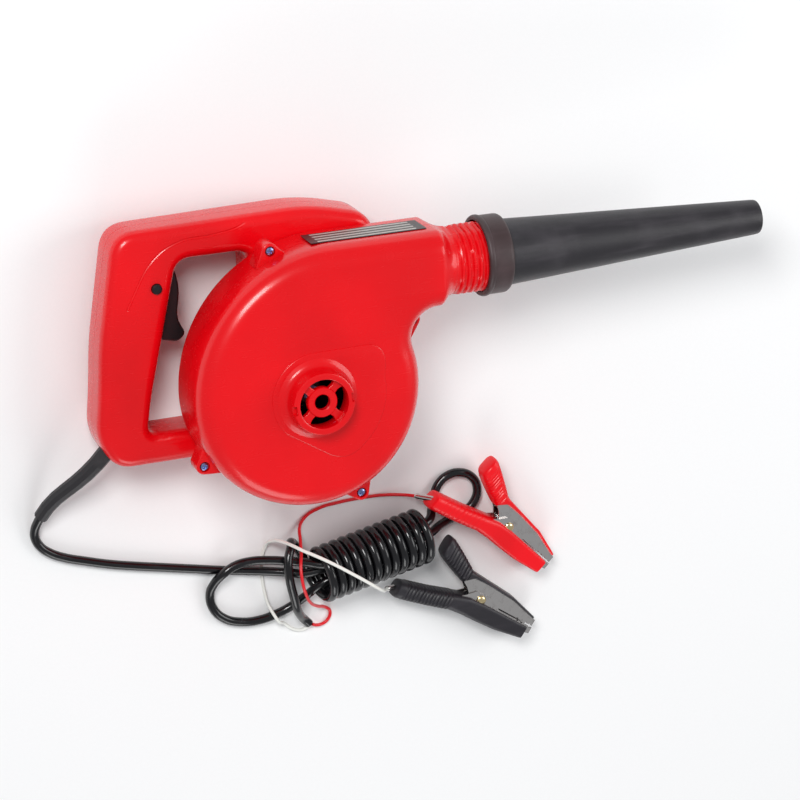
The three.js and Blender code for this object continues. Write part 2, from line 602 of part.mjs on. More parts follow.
/** A carbon brush, sliding in its holder towards the commutator. */
const brush = (angle) => placed(
  block([COMMUTATOR_RADIUS + GAP, -2.5 + GAP, CAN_BOTTOM + 1 + GAP], [COMMUTATOR_RADIUS + 9, 2.5 - GAP, CAN_BOTTOM + 5 - GAP]),
  [0, 0, 0], angle);

/** A curved ferrite magnet inside the can. */
function magnet(angle) {
  const outer = MOTOR_RADIUS - MOTOR_WALL - GAP;
  const span = 1.1;
  const shape = new THREE.Shape();
  shape.absarc(0, 0, outer, -span, span, false);
  shape.absarc(0, 0, outer - MAGNET_THICKNESS, span, -span, true);
  return placed(prism(shape, CAN_BOTTOM + 9, CAN_TOP - 4), [0, 0, 0], angle);
}

/** The laminated armature with slots for its windings. */
function armature() {
  const from = CAN_BOTTOM + 11;
  const to = CAN_TOP - 6;
  const core = ring(ARMATURE_RADIUS, SHAFT_RADIUS + GAP, from, to, 24);
  const slot = block([ARMATURE_RADIUS - 5, -1.2, from - 1], [ARMATURE_RADIUS + 1, 1.2, to + 1]);
  return cut(core, ...Array.from({ length: 8 }, (_, n) => placed(slot, [0, 0, 0], (n * Math.PI) / 4)));
}

/** A plain bearing bush round the shaft. */
const bush = (from, to) => ring(MOTOR_BOSS - 2 - GAP, SHAFT_RADIUS + GAP, from, to, 14);

// ---- Trigger, switch and springs --------------------------------------------------------------

const SPRING_RADIUS = 4;
const SPRING_SEAT = -6; // bottom of the spring's pocket in the back of the trigger

/** The trigger in its own frame: a finger hollow above a hooked toe, and a pocket for its spring. */
function trigger() {
  const half = TRIGGER_HALF;
  const body = prism(roundedPolygon([
    [-12, -half + 3, 2], [-2.5, -half + 3, 0], [-2.5, -half, 0], [13, -half, 3], [17, -half + 6, 3],
    [9, -half + 15, 6], [8, half - 12, 8], [2, half, 2.5], [-2.5, half, 0], [-2.5, half - 3, 0], [-12, half - 3, 2],
  ]), -TRIGGER_WIDTH / 2, TRIGGER_WIDTH / 2, { round: 1.2, arcSteps: 3 });
  return cut(body, bar(SPRING_RADIUS + 1.2, -13, SPRING_SEAT, 12, 'x'));
}

/** A coil spring along +X from one end to the other. */
function coil(radius, wire, from, to, turns) {
  const steps = turns * 6;
  const points = Array.from({ length: steps + 1 }, (_, i) => {
    const angle = (2 * Math.PI * i) / 6;
    return [THREE.MathUtils.lerp(from, to, i / steps), radius * Math.cos(angle), radius * Math.sin(angle)];
  });
  return tube(route(points), wire, 5, steps);
}

const SWITCH_FRONT = -21.5;
const SWITCH_DEPTH = 14;

/** The switch: a block with a raised frame and two tabs for the leads. */
function switchBody() {
  const back = SWITCH_FRONT - SWITCH_DEPTH;
  const body = block([back, -14, -7.5], [SWITCH_FRONT, 14, 7.5]);
  const frame = block([back + 2, -15.5, -5], [SWITCH_FRONT - 2, 15.5, 5]);
  const tab = (z) => block([back + 4, -21, z - 0.4], [back + 9, -15, z + 0.4]);
  return join(body, frame, tab(-3), tab(3));
}

/**
 * The end of a wire that comes down beside the motor: it closes in on the can as it drops.
 * start and end are its angles, and share is how far into the room beside the can it starts.
 */
function downTheMotor(start, share, end, heights) {
  const room = COVER_RADIUS - WALL - MOTOR_RADIUS;
  const radii = [share, 0.33, 0.18].map((part) => MOTOR_RADIUS + room * part);
  const angles = [start, start + (end - start) * 0.8, end].map(THREE.MathUtils.degToRad);
  return heights.map((z, i) => [radii[i] * Math.cos(angles[i]), radii[i] * Math.sin(angles[i]), z]);
}

// Wires inside the handle: from the cord to the switch and the motor, and between those two
const SUPPLY_TO_SWITCH = [
  [-103.4, -20, 31.6], [-102, -14, 32], [-103.5, 0, 32], [-106.5, 20, 32], [-109.5, 34, 33], [-110.5, 40.9, 33],
];
const SUPPLY_TO_MOTOR = [
  [-102.9, -19.5, 28.4], [-101, -19, 26.5], [-100.5, -24, 26], [-98, -31, 26], [-92, -37, 26],
  [-80, -40.2, 26], [-64, -40.6, 26], [-46, -40.4, 26], [-36, -38.5, 25], [-29, -33, 22],
  ...downTheMotor(225, 0.62, 222, [17, 11, 8]),
];
const SWITCH_TO_MOTOR = [
  [-110.5, 40.9, 27], [-109, 34, 26], [-106, 18, 24], [-103, 0, 22], [-103, -14, 21], [-102, -25, 21],
  [-97, -35, 21], [-88, -39.8, 21], [-64, -40.6, 21], [-40, -40.2, 21], [-27, -37.2, 20],
  ...downTheMotor(242, 0.65, 256, [17, 11, 8]),
];

/** The lock button: a round head on a flange that stays behind the wall. */
const lockButton = () => turn([
  [0, HANDLE_FRONT - 6], [LOCK_RADIUS, HANDLE_FRONT - 6], [LOCK_RADIUS, HANDLE_FRONT - 5.2],
  [LOCK_RADIUS + 0.9, HANDLE_FRONT - 5.2], [LOCK_RADIUS + 0.9, HANDLE_FRONT - WALL - 2 * GAP],
  [LOCK_RADIUS, HANDLE_FRONT - WALL - 2 * GAP], [LOCK_RADIUS, HANDLE_FRONT + 1.8],
  [LOCK_RADIUS - 0.8, HANDLE_FRONT + 2.6], [0, HANDLE_FRONT + 2.8],
], 14).translate([...LOCK_SPOT, 0]);

// ---- Nozzle -----------------------------------------------------------------------------------

const NOZZLE_FLANGE = THREAD_CREST;
const FLANGE_BACK = OUTLET_END + GAP;
const FLANGE_FRONT = FLANGE_BACK + 1.8;

/** The threaded collar that draws the nozzle's flange against the outlet. */
function nozzleCollar() {
  const outer = COLLAR_INNER + COLLAR_WALL;
  const lip = outer + 0.7;
  const neck = NOZZLE_BASE + GAP;
  const shelf = FLANGE_FRONT + GAP;
  return turn([
    [COLLAR_INNER, COLLAR_START], [lip - 0.8, COLLAR_START], [lip, COLLAR_START + 0.8], [lip, COLLAR_START + 3.2],
    [outer, COLLAR_START + 4], [outer, COLLAR_END - 1.6], [outer - 1.6, COLLAR_END], [neck, COLLAR_END],
    [neck, shelf], [COLLAR_INNER, shelf], [COLLAR_INNER, COLLAR_START],
  ], 24, 'x').translate([0, OUTLET_Y, PARTING]);
}

/** The long tapering nozzle with a flange at its root and a rolled lip at its tip. */
function nozzleTube() {
  const tip = FLANGE_BACK + NOZZLE_LENGTH;
  const lip = 4;
  return turn([
    [NOZZLE_BASE - NOZZLE_WALL, FLANGE_BACK], [NOZZLE_FLANGE, FLANGE_BACK], [NOZZLE_FLANGE, FLANGE_FRONT],
    [NOZZLE_BASE, FLANGE_FRONT], [NOZZLE_BASE, COLLAR_END + 2], [NOZZLE_TIP + 0.3, tip - lip],
    [NOZZLE_TIP + 1, tip - lip + 0.9], [NOZZLE_TIP + 1, tip - 0.8], [NOZZLE_TIP + 0.4, tip],
    [NOZZLE_TIP - NOZZLE_WALL, tip], [NOZZLE_BASE - NOZZLE_WALL, FLANGE_BACK],
  ], 24, 'x').translate([0, OUTLET_Y, PARTING]);
}

// ---- Cord -------------------------------------------------------------------------------------

const CLAMP_SHARE = 0.05; // share of the guard's route where the cord clamp grips

/** The moulded guard with a flange behind the wall, bored for the cord. */
function cordGuard() {
  const heel = guardCurve.getPointAt(GUARD_HEEL);
  const outside = new THREE.CatmullRomCurve3(
    Array.from({ length: 8 }, (_, i) => guardCurve.getPointAt(THREE.MathUtils.lerp(GUARD_HEEL, 1, i / 7))));
  const ahead = heel.clone().addScaledVector(guardCurve.getTangentAt(GUARD_HEEL), 2.2);
  const flange = tube(new THREE.LineCurve3(heel, ahead), GUARD_RADIUS + 2.2, 10, 1);
  const before = outside.getPoint(0).addScaledVector(outside.getTangent(0), -2);
  const after = outside.getPoint(1).addScaledVector(outside.getTangent(1), 2);
  const bore = new THREE.CatmullRomCurve3([before, ...outside.points, after]);
  return cut(join(taperedTube(outside, GUARD_RADIUS, GUARD_TIP, 10, 8), flange), tube(bore, CORD_RADIUS + GAP, 8, 10));
}

/** The clamp bar that holds the cord inside the grip, with a groove and two screw holes. */
function cordClamp() {
  const plate = block([-4, -8, 0], [4, 8, CORD_RADIUS + 4]);
  const groove = bar(CORD_RADIUS + GAP, -6, 6, 12, 'x');
  const holes = [-5.7, 5.7].map((y) => bar(SCREW_RADIUS + GAP, -1, 20, 8).translate([0, y, 0]));
  return cut(plate, groove, ...holes);
}

// Route of the lead from the guard's end along the surface to the hank
const LEAD_ROUTE = [
  [-160.2, -82.9, 8.8], [-162, -87, 6.9], [-163.5, -92, 5], [-163.5, -98, 3.7], [-160.5, -104.5, 3.2],
  [-154.5, -110, 3.2], [-145, -115, 3.2], [-132, -119.5, 3.2], [-116, -124.5, 3.2], [-98, -129, 3.2],
  [-78, -133.5, 3.2], [-58, -138, 3.2], [-40, -142, 3.2], [-24, -145, 3.6], [-10, -147, 6], [3, -148.6, 10],
  [11.4, -150, 12.6],
];

// Bights of the folded cord that stand out of the hank's ends
const LEFT_LOOP_ROUTE = [
  [12, -141, 15.5], [2, -139, 14], [-10, -137, 12], [-24, -136, 10.4], [-34, -137.5, 10.2], [-42, -142, 9.9],
  [-47.5, -149, 6.5], [-50, -158, 3.4], [-48, -168, 3.2], [-41, -176, 3.2], [-30, -180.5, 3.2],
  [-17, -181.5, 3.2], [-4, -179, 3.2], [5, -175.5, 3.8], [13.5, -169.5, 6.6],
];
const RIGHT_LOOP_ROUTE = [
  [102, -127.2, 12.4], [106.2, -121.5, 6.8], [109, -114, 4.2], [113, -106.5, 3.2], [120, -101.5, 3.2],
  [129, -101, 3.2], [137, -105.5, 3.2], [140.5, -114, 3.2], [138, -123, 3.2], [130, -129.5, 3.2],
  [120, -132.5, 4.2], [111, -134.5, 7.6], [103.5, -136.5, 12],
];

// The last of the jacket, laid across the strands at the hank's left end
const TAIL_ROUTE = [
  [9, -124.5, 12], [2.5, -128, 18.5], [-1, -134.5, 23], [-1.5, -143, 24.3], [0, -152.5, 22.5],
  [2.5, -162, 20], [5, -171, 16.6], [8.5, -178.5, 11], [13, -185, 5], [17.3, -190, 3.2],
];

// The two insulated wires between the end of the jacket and the clamps
const RED_WIRE_ROUTE = [
  [19.5, -191, 3.4], [23, -192.6, 2.4], [28, -192.6, 1.3], [32, -189.4, 1.3], [33, -184.4, 1.3],
  [29.5, -180.8, 2.4], [22, -176, 10], [14, -168.5, 19], [9.5, -160, 24.5], [7, -151, 26.5], [7, -142, 24],
  [8.5, -133.5, 17], [10.5, -127.5, 8], [13.5, -120.5, 2.6], [19, -115, 1.3], [29, -110.5, 1.3],
  [42, -108.8, 1.3], [58, -108.2, 1.3], [74, -108.4, 2.2], [86, -108.8, 6.5], [94, -109, 12.5],
];
const WHITE_WIRE_ROUTE = [
  [18, -192.6, 1.8], [13, -194.6, 1.3], [6, -192.5, 1.3], [0, -187, 1.3], [-4.5, -183.5, 7.8], [-8, -178, 9.2],
  [-10.5, -171.5, 5], [-12, -163, 2.4], [-13, -152, 1.3], [-13, -145, 1.3], [-12, -137, 1.3], [-9.5, -129.5, 3],
  [-7.5, -124.5, 10], [-5, -122, 18], [-0.5, -122.5, 26], [6, -125.5, 32.5], [14, -129.5, 36.5],
  [24, -135.5, 39], [36, -144, 39.4], [48, -153, 39], [56.5, -160, 36.4], [62, -164.8, 29.5], [66, -168, 21], [70, -170, 14.5],
];

/** The hank: the outer shape of the folded cord and its wrapping turns. */
function hank() {
  const [x0, y0] = HANK_START;
  const [x1, y1] = HANK_END;
  const length = Math.hypot(x1 - x0, y1 - y0);
  const [half, corner] = [HANK_HALF_WIDTH, HANK_HALF_WIDTH - 2];
  const outline = roundedPolygon([
    [0, -half, corner], [length, -half, corner], [length, half, corner], [0, half, corner],
  ]);
  return placed(prism(outline, GAP, HANK_HEIGHT, { round: 11, roundSteps: 2 }), [x0, y0, 0], Math.atan2(y1 - y0, x1 - x0));
}

// ---- Battery clamps -----------------------------------------------------------------------------

/** Side view of one sheet-metal half: jaw, ear round the pivot and arm, grown by an offset. */
const halfProfile = (arm, grow = 0) => roundedPolygon([
  [JAW_LENGTH, -0.4], [JAW_LENGTH, -5 - grow], [22, -10 - grow, 8], [0, -11.5 - grow, 8],
  [-14, -11.5 - grow, 6], [-arm - grow, -ARM_SPREAD - 3.5 - grow], [-arm - grow, -ARM_SPREAD + 3.5 + grow],
  [-14, -4 + grow, 6], [-6, 4], [6, 4], [16, -0.4],
]);

/** One half of the clamp, bent from sheet into a channel that opens towards the other half. */
function jaw(arm, half) {
  const channel = prism(halfProfile(arm), -half, half, { arcSteps: 2 });
  const hollow = prism(halfProfile(arm + 5), SHEET - half, half - SHEET, { arcSteps: 2 }).translate([0, SHEET * 1.3, 0]);
  const clearEar = block([-7, -6, SHEET - half], [7, 8, half - SHEET]);
  const tooth = placed(block([-0.7, -0.7, -half - 1], [0.7, 0.7, half + 1]), [0, 0, 0], Math.PI / 4);
  const teeth = Array.from({ length: 4 }, (_, n) => tooth.translate([JAW_LENGTH - 2 - 3.6 * n, -0.4, 0]));
  const pin = bar(PIVOT_RADIUS + GAP, -half - 1, half + 1, 10);
  return cut(channel, hollow, clearEar, pin, ...teeth);
}

/** The soft sleeve over a half's grip, and over the outside of its jaw as far as reach. */
function sleeve(arm, half, reach, width) {
  const wide = half + GAP + width;
  const over = prism(halfProfile(arm, SLEEVE_WALL), -wide, wide, { round: 1.2, arcSteps: 2 });
  const jawRoom = prism(halfProfile(arm + 0.1, GAP), -half - GAP, half + GAP, { arcSteps: 2 });
  const inside = block([-arm - 2, -0.1, -wide - 1], [JAW_LENGTH + 9, 20, wide + 1]);
  const armRoom = prism(roundedPolygon([
    [-arm + 8, -ARM_SPREAD - 1, 0], [-10, -9, 0], [JAW_LENGTH + 9, -3.6, 0], [JAW_LENGTH + 9, 12, 0], [-10, 12, 0],
  ]), -half - GAP, half + GAP);
  const nose = block([reach, -30, -wide - 1], [JAW_LENGTH + 9, 30, wide + 1]);
  return cut(over, jawRoom, inside, armRoom, nose);
}

/** The rivet that the two halves turn on. */
const pivotPin = () => turn([
  [0, -JAW_HALF - 1.6], [PIVOT_RADIUS + 1, -JAW_HALF - 1.6], [PIVOT_RADIUS + 1, -JAW_HALF - GAP], [PIVOT_RADIUS, -JAW_HALF - GAP],
  [PIVOT_RADIUS, JAW_HALF + GAP], [PIVOT_RADIUS + 1, JAW_HALF + GAP], [PIVOT_RADIUS + 1, JAW_HALF + 1.6], [0, JAW_HALF + 1.6],
], 10);

/** The torsion spring round the rivet, with one leg along each arm. */
function clampSpring() {
  const radius = PIVOT_RADIUS + 1.3;
  const turns = 3;
  const legs = 13;
  const spread = 0.3;
  const reach = 3;
  const coilPoints = Array.from({ length: turns * 8 + 5 }, (_, i) => {
    const angle = Math.PI / 2 + (2 * Math.PI * i) / 8;
    return [radius * Math.cos(angle), radius * Math.sin(angle), -reach + (2 * reach * i) / (turns * 8 + 4)];
  });
  const first = [-legs, radius + legs * spread * 0.4, -reach];
  const last = [-legs, -radius - legs * spread * 0.4, reach];
  return tube(route([first, ...coilPoints, last]), 0.6, 4, 26);
}

/** A whole clamp, placed by its pivot, its direction and its tilt. */
function clamp(name, sleeveMaterial, position, heading, tilt) {
  const group = new THREE.Group();
  group.position.set(...position);
  group.rotation.order = 'ZYX';
  group.rotation.set(0, THREE.MathUtils.degToRad(tilt), THREE.MathUtils.degToRad(heading));
  blower.add(group);
  const inner = JAW_HALF - SHEET - GAP;
  add(`${name}_clamp_fixed_jaw`, jaw(ARM_LENGTH, JAW_HALF), STEEL, group);
  add(`${name}_clamp_moving_jaw`, mirrored(jaw(SHORT_ARM, inner)), STEEL, group);
  add(`${name}_clamp_rivet`, pivotPin(), BRASS, group);
  add(`${name}_clamp_spring`, clampSpring(), STEEL, group);
  add(`${name}_clamp_fixed_sleeve`, sleeve(ARM_LENGTH, JAW_HALF + 1.6, JAW_LENGTH - 4, 1.6), sleeveMaterial, group);
  add(`${name}_clamp_moving_sleeve`, mirrored(sleeve(SHORT_ARM, inner, -17, 3.2)), sleeveMaterial, group);
}

// ---- Assembly -----------------------------------------------------------------------------------

add('fan_cover', fanCover(), RED);
add('front_housing', frontHousing(), RED);
add('rear_housing', rearHousing(), RED);
COVER_SCREWS.forEach(({ x, y }, n) => {
  const body = screw(COVER_SCREW_LENGTH).translate([x, y, LUG_TOP - LUG_COUNTERBORE + GAP]);
  add(`cover_screw_${n + 1}`, body, ZINC);
});
HANDLE_SCREWS.forEach(({ x, y }, n) => {
  const body = screw(HANDLE_SCREW_LENGTH).rotate([180, 0, 0]);
  add(`handle_screw_${n + 1}`, body.translate([x, y, HANDLE_BACK + HANDLE_COUNTERBORE - GAP]), ZINC);
});
add('rating_label', block([6, OUTLET_TOP + GAP, PARTING - 12], [82, OUTLET_TOP + GAP + 0.3, PARTING + 9]), BLACK);

add('nozzle_collar', nozzleCollar(), TAUPE);
add('nozzle_tube', nozzleTube(), CHARCOAL);

add('impeller', impeller(), BLACK);
add('fan_nut', fanNut(), ZINC);
add('motor_shaft', bar(SHAFT_RADIUS, CAN_BOTTOM - END_CAP_HEIGHT + 1, FAN_FRONT - 1, 20), STEEL);
add('armature', armature(), COPPER);
add('commutator', ring(COMMUTATOR_RADIUS, SHAFT_RADIUS + GAP, CAN_BOTTOM + 1, CAN_BOTTOM + 10, 16), COPPER);
add('motor_can', motorCan(), STEEL);
add('motor_end_cap', motorEndCap(), BLACK);
add('front_bush', bush(CAN_TOP - 3, CAN_TOP + 2), BRASS);
add('rear_bush', bush(CAN_BOTTOM - END_CAP_HEIGHT, CAN_BOTTOM - GAP), BRASS);
[0, Math.PI].forEach((angle, n) => {
  add(`magnet_${n + 1}`, magnet(angle + Math.PI / 2), FERRITE);
  add(`brush_${n + 1}`, brush(angle), FERRITE);
});
MOTOR_SCREWS.forEach((angle, n) => {
  const body = screw(8).translate([MOTOR_SCREW_RADIUS, 0, VOLUTE_BACK + WALL + GAP]);
  add(`motor_screw_${n + 1}`, placed(body, [0, 0, 0], angle), ZINC);
});

const triggerFrame = new THREE.Group();
triggerFrame.position.set(...TRIGGER_SPOT);
triggerFrame.rotation.z = -LEAN;
blower.add(triggerFrame);
add('trigger', trigger(), BLACK, triggerFrame);
add('trigger_spring', coil(SPRING_RADIUS, 0.6, SWITCH_FRONT + 1, SPRING_SEAT - 1, 5), STEEL, triggerFrame);
add('switch_body', switchBody(), BLACK, triggerFrame);
add('lock_button', lockButton(), BLACK);
add('supply_to_switch', tube(route(SUPPLY_TO_SWITCH), WIRE_RADIUS, 6, 6), BLACK);
add('supply_to_motor', tube(route(SUPPLY_TO_MOTOR), WIRE_RADIUS, 6, 12), RED);
add('switch_to_motor', tube(route(SWITCH_TO_MOTOR), WIRE_RADIUS, 6, 12), BLACK);

add('cord_guard', cordGuard(), CHARCOAL);
const grip = guardCurve.getPointAt(CLAMP_SHARE);
const gripAngle = Math.atan2(guardCurve.getTangentAt(0).y, guardCurve.getTangentAt(0).x);
add('cord_clamp', placed(cordClamp(), grip.toArray(), gripAngle), BLACK);
add('cord_inside', tube(guardCurve, CORD_RADIUS, 8, 12), BLACK);
add('cord_lead', tube(route(LEAD_ROUTE), CORD_RADIUS, 8, 20), BLACK);
add('cord_left_loop', tube(route(LEFT_LOOP_ROUTE), CORD_RADIUS, 8, 16), BLACK);
add('cord_right_loop', tube(route(RIGHT_LOOP_ROUTE), CORD_RADIUS, 8, 12), BLACK);
add('cord_tail', tube(route(TAIL_ROUTE), CORD_RADIUS, 8, 8), BLACK);
add('cord_hank', hank(), BLACK);
add('wire_red', tube(route(RED_WIRE_ROUTE), WIRE_RADIUS, 8, 20), RED);
add('wire_white', tube(route(WHITE_WIRE_ROUTE), WIRE_RADIUS, 8, 20), WHITE);

clamp('red', RED, [155.8, -138.6, 14], -47.2, 5.4);
clamp('black', BLACK, [135.9, -189.6, 10.6], -35.8, 0);

export default blower;
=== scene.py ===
"""Looks of a hand-held car dryer blower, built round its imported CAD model."""

from __future__ import annotations

import logging
import math
from dataclasses import dataclass, field
from enum import Enum
from typing import Any, Callable, Iterable, Sequence

import bmesh
import bpy
from mathutils import Matrix, Vector, geometry


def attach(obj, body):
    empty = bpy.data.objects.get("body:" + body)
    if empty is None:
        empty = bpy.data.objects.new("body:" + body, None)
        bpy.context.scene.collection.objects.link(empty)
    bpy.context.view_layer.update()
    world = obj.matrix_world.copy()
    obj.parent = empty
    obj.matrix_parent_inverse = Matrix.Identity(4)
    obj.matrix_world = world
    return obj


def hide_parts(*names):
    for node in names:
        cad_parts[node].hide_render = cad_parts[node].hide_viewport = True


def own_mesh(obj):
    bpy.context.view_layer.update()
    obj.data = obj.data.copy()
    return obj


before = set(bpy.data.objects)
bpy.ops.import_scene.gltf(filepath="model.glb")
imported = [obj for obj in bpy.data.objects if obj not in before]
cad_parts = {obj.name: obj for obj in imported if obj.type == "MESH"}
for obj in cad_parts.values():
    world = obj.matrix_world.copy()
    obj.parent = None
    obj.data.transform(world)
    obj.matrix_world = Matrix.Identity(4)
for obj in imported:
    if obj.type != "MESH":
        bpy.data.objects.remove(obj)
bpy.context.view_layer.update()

MM = 0.001
LOG = logging.getLogger("blower")

Point = tuple[float, float]
Point3 = tuple[float, float, float]
Colour = tuple[float, float, float]

SHARP = 32.0  # edges above this angle, in degrees, stay sharp
ROUND = 96  # segments round a large circle
OUTLET_Y, OUTLET_Z = 69.0, 71.5  # the outlet's axis runs along X here, at the case's parting height
CASE_SCREWS = (  # x, y and the direction of each screw lug, in radians
    (-19.5, 91.6, 1.78), (71.8, 34.7, 0.45), (-69.2, -41.0, -2.61), (33.2, -74.8, -1.15),
)


# ---- Shader expressions ---------------------------------------------------------------------


class Value:
    """A shader number that takes part in arithmetic; each operation adds its Math node."""

    def __init__(self, paint: "Paint", socket: bpy.types.NodeSocket) -> None:
        """Wraps one output socket of a material."""
        self.paint = paint
        self.socket = socket

    def _math(self, operation: str, first: "Value | float", second: "Value | float") -> "Value":
        """Adds a Math node.

        Args:
            operation: the node's operation.
            first: its first input.
            second: its second input.

        Returns:
            The node's result.
        """
        return self.paint.node("ShaderNodeMath", {"operation": operation}, {0: first, 1: second})

    def __add__(self, other: "Value | float") -> "Value":
        """Sum."""
        return self._math("ADD", self, other)

    __radd__ = __add__

    def __mul__(self, other: "Value | float") -> "Value":
        """Product."""
        return self._math("MULTIPLY", self, other)

    __rmul__ = __mul__

    def __sub__(self, other: "Value | float") -> "Value":
        """Difference."""
        return self._math("SUBTRACT", self, other)

    def __rsub__(self, other: "Value | float") -> "Value":
        """Difference from a number."""
        return self._math("SUBTRACT", other, self)

    def __gt__(self, other: "Value | float") -> "Value":
        """One where this is greater, else zero."""
        return self._math("GREATER_THAN", self, other)

    def __lt__(self, other: "Value | float") -> "Value":
        """One where this is less, else zero."""
        return self._math("LESS_THAN", self, other)

    def steps(self, low: float, high: float) -> "Value":
        """Zero below low, one above high, and smooth between them.

        Args:
            low: where the rise starts.
            high: where it ends.

        Returns:
            The eased value.
        """
        return self.paint.node(
            "ShaderNodeMapRange",
            {"interpolation_type": "SMOOTHSTEP"},
            {"Value": self, "From Min": low, "From Max": high},
        )


class Paint:
    """One material under construction."""

    def __init__(self, name: str) -> None:
        """Makes the material with its principled shader.

        Args:
            name: the material's name.
        """
        self.material = bpy.data.materials.new(f"finish_{name}")
        self.material.use_nodes = True
        self.tree = self.material.node_tree
        self.shader = next(n for n in self.tree.nodes if n.type == "BSDF_PRINCIPLED")
        self.place = self.node("ShaderNodeTexCoord", {}, {}, "Object")

    def node(self, kind: str, settings: dict[str, Any], inputs: dict[Any, Any], output: Any = 0) -> Value:
        """Adds any node.

        Args:
            kind: the node's type.
            settings: its properties, set first.
            inputs: what goes into its sockets, by name or number.
            output: the socket that is wanted.

        Returns:
            That socket as a value.
        """
        made = self.tree.nodes.new(kind)
        for key, setting in settings.items():
            setattr(made, key, setting)
        for key, given in inputs.items():
            if isinstance(given, Value):
                self.tree.links.new(given.socket, made.inputs[key])
            else:
                made.inputs[key].default_value = given
        return Value(self, made.outputs[output])

    def stretched(self, scale: Point3) -> Value:
        """The object's coordinates, stretched by a scale on each axis."""
        return self.node("ShaderNodeMapping", {}, {"Vector": self.place, "Scale": scale})

    def noise(
        self, size: float, detail: float = 2.0, stretch: Point3 = (1, 1, 1), seed: float = 0.0
    ) -> Value:
        """Smooth noise.

        Args:
            size: the size of its blotches, in millimetres.
            detail: how many finer layers it has.
            stretch: how much finer it is along each axis.
            seed: a shift to another part of the pattern.

        Returns:
            The noise, from 0 to 1.
        """
        return self.node(
            "ShaderNodeTexNoise",
            {"noise_dimensions": "4D"},
            {"Vector": self.stretched(stretch), "W": seed, "Scale": 1.0 / (size * MM), "Detail": detail},
        )

    def cells(self, size: float) -> Value:
        """Distances in a cell pattern whose cells have a size in millimetres."""
        inputs = {"Vector": self.place, "Scale": 1.0 / (size * MM)}
        return self.node("ShaderNodeTexVoronoi", {}, inputs, "Distance")

    def blend(self, mask: "Value | float", first: "Value | Colour", second: "Value | Colour") -> Value:
        """Goes from one colour to another.

        Args:
            mask: 0 for the first and 1 for the second.
            first: a colour.
            second: a colour.

        Returns:
            The mixed colour.
        """
        made = self.tree.nodes.new("ShaderNodeMix")
        made.data_type = "RGBA"
        for socket, given in ((made.inputs[0], mask), (made.inputs[6], first), (made.inputs[7], second)):
            if isinstance(given, Value):
                self.tree.links.new(given.socket, socket)
            else:
                socket.default_value = given if isinstance(given, (int, float)) else (*given, 1.0)
        return Value(self, made.outputs[2])

    def bump(self, height: Value, depth: float, strength: float = 1.0) -> Value:
        """A surface normal from a height.

        Args:
            height: the height, from 0 to 1.
            depth: how deep the relief is, in millimetres.
            strength: how strongly it shows.

        Returns:
            The normal.
        """
        inputs = {"Height": height, "Distance": depth * MM, "Strength": strength}
        return self.node("ShaderNodeBump", {}, inputs)

    def set(self, **sockets: Any) -> bpy.types.Material:
        """Sets the principled shader's sockets, named with underscores for spaces.

        Args:
            **sockets: a number, a colour or a value for each.

        Returns:
            The finished material.
        """
        for key, given in sockets.items():
            socket = self.shader.inputs[key.replace("_", " ")]
            if isinstance(given, Value):
                self.tree.links.new(given.socket, socket)
            else:
                socket.default_value = (*given, 1.0) if isinstance(given, tuple) else given
        return self.material


def linear(red: int, green: int, blue: int) -> Colour:
    """A colour from screen values of 0 to 255."""
    return tuple(((v / 255 + 0.055) / 1.055) ** 2.4 if v > 10 else v / 3294.6 for v in (red, green, blue))


@dataclass(frozen=True)
class GlossPlastic:
    """Moulded plastic with a faint ripple, flow shading and fine rubs."""

    name: str
    colour: Colour
    deep: Colour
    roughness: float = 0.26
    coat: float = 0.25
    ripple: float = 0.02

    def material(self) -> bpy.types.Material:
        """Builds the material."""
        paint = Paint(self.name)
        flow = paint.noise(60, 3, seed=1.0)
        speck = paint.noise(1.2, 3, seed=2.0)
        rubs = paint.noise(9, 4, (1, 7, 3), seed=3.0).steps(0.58, 0.74)
        tone = flow.steps(0.3, 0.75) * 0.55 + speck * 0.12
        return paint.set(
            Base_Color=paint.blend(tone, self.colour, self.deep),
            Roughness=paint.noise(14, 4, seed=4.0) * 0.12 + rubs * 0.05 + (self.roughness - 0.04),
            Normal=paint.bump(paint.noise(3.0, 2, seed=5.0) + speck * 0.25, self.ripple),
            Coat_Weight=self.coat,
            Coat_Roughness=0.09,
            Specular_IOR_Level=0.35,
        )


@dataclass(frozen=True)
class GrainPlastic:
    """Satin plastic or rubber with a moulded grain, and patches and streaks of dust."""

    name: str
    colour: Colour
    pale: Colour
    roughness: float = 0.5
    grain: float = 0.7
    depth: float = 0.05
    streaks: float = 0.3

    def material(self) -> bpy.types.Material:
        """Builds the material."""
        paint = Paint(self.name)
        cells = paint.cells(self.grain)
        drawn = paint.noise(5, 4, (0.12, 1, 1), seed=6.0)
        cloud = paint.noise(22, 4, seed=7.0)
        dust = cloud.steps(0.45, 0.8) * 0.45 + drawn.steps(0.45, 0.75) * self.streaks
        return paint.set(
            Base_Color=paint.blend(dust, self.colour, self.pale),
            Roughness=cloud * 0.18 + cells * 0.1 + (self.roughness - 0.12),
            Normal=paint.bump(cells + paint.noise(0.5, 2, seed=8.0) * 0.6, self.depth),
            Specular_IOR_Level=0.45,
        )


@dataclass(frozen=True)
class CordJacket:
    """Soft PVC with a slight sheen, faint lengthwise drag marks and handling dust."""

    name: str
    colour: Colour
    dusty: Colour
    roughness: float = 0.3

    def material(self) -> bpy.types.Material:
        """Builds the material."""
        paint = Paint(self.name)
        dust = paint.noise(16, 5, seed=9.0).steps(0.5, 0.8)
        fine = paint.noise(0.8, 3, seed=10.0)
        return paint.set(
            Base_Color=paint.blend(dust * 0.6 + fine * 0.15, self.colour, self.dusty),
            Roughness=dust * 0.2 + fine * 0.1 + (self.roughness - 0.05),
            Normal=paint.bump(fine + paint.noise(6, 2, seed=11.0), 0.02),
            Specular_IOR_Level=0.55,
        )


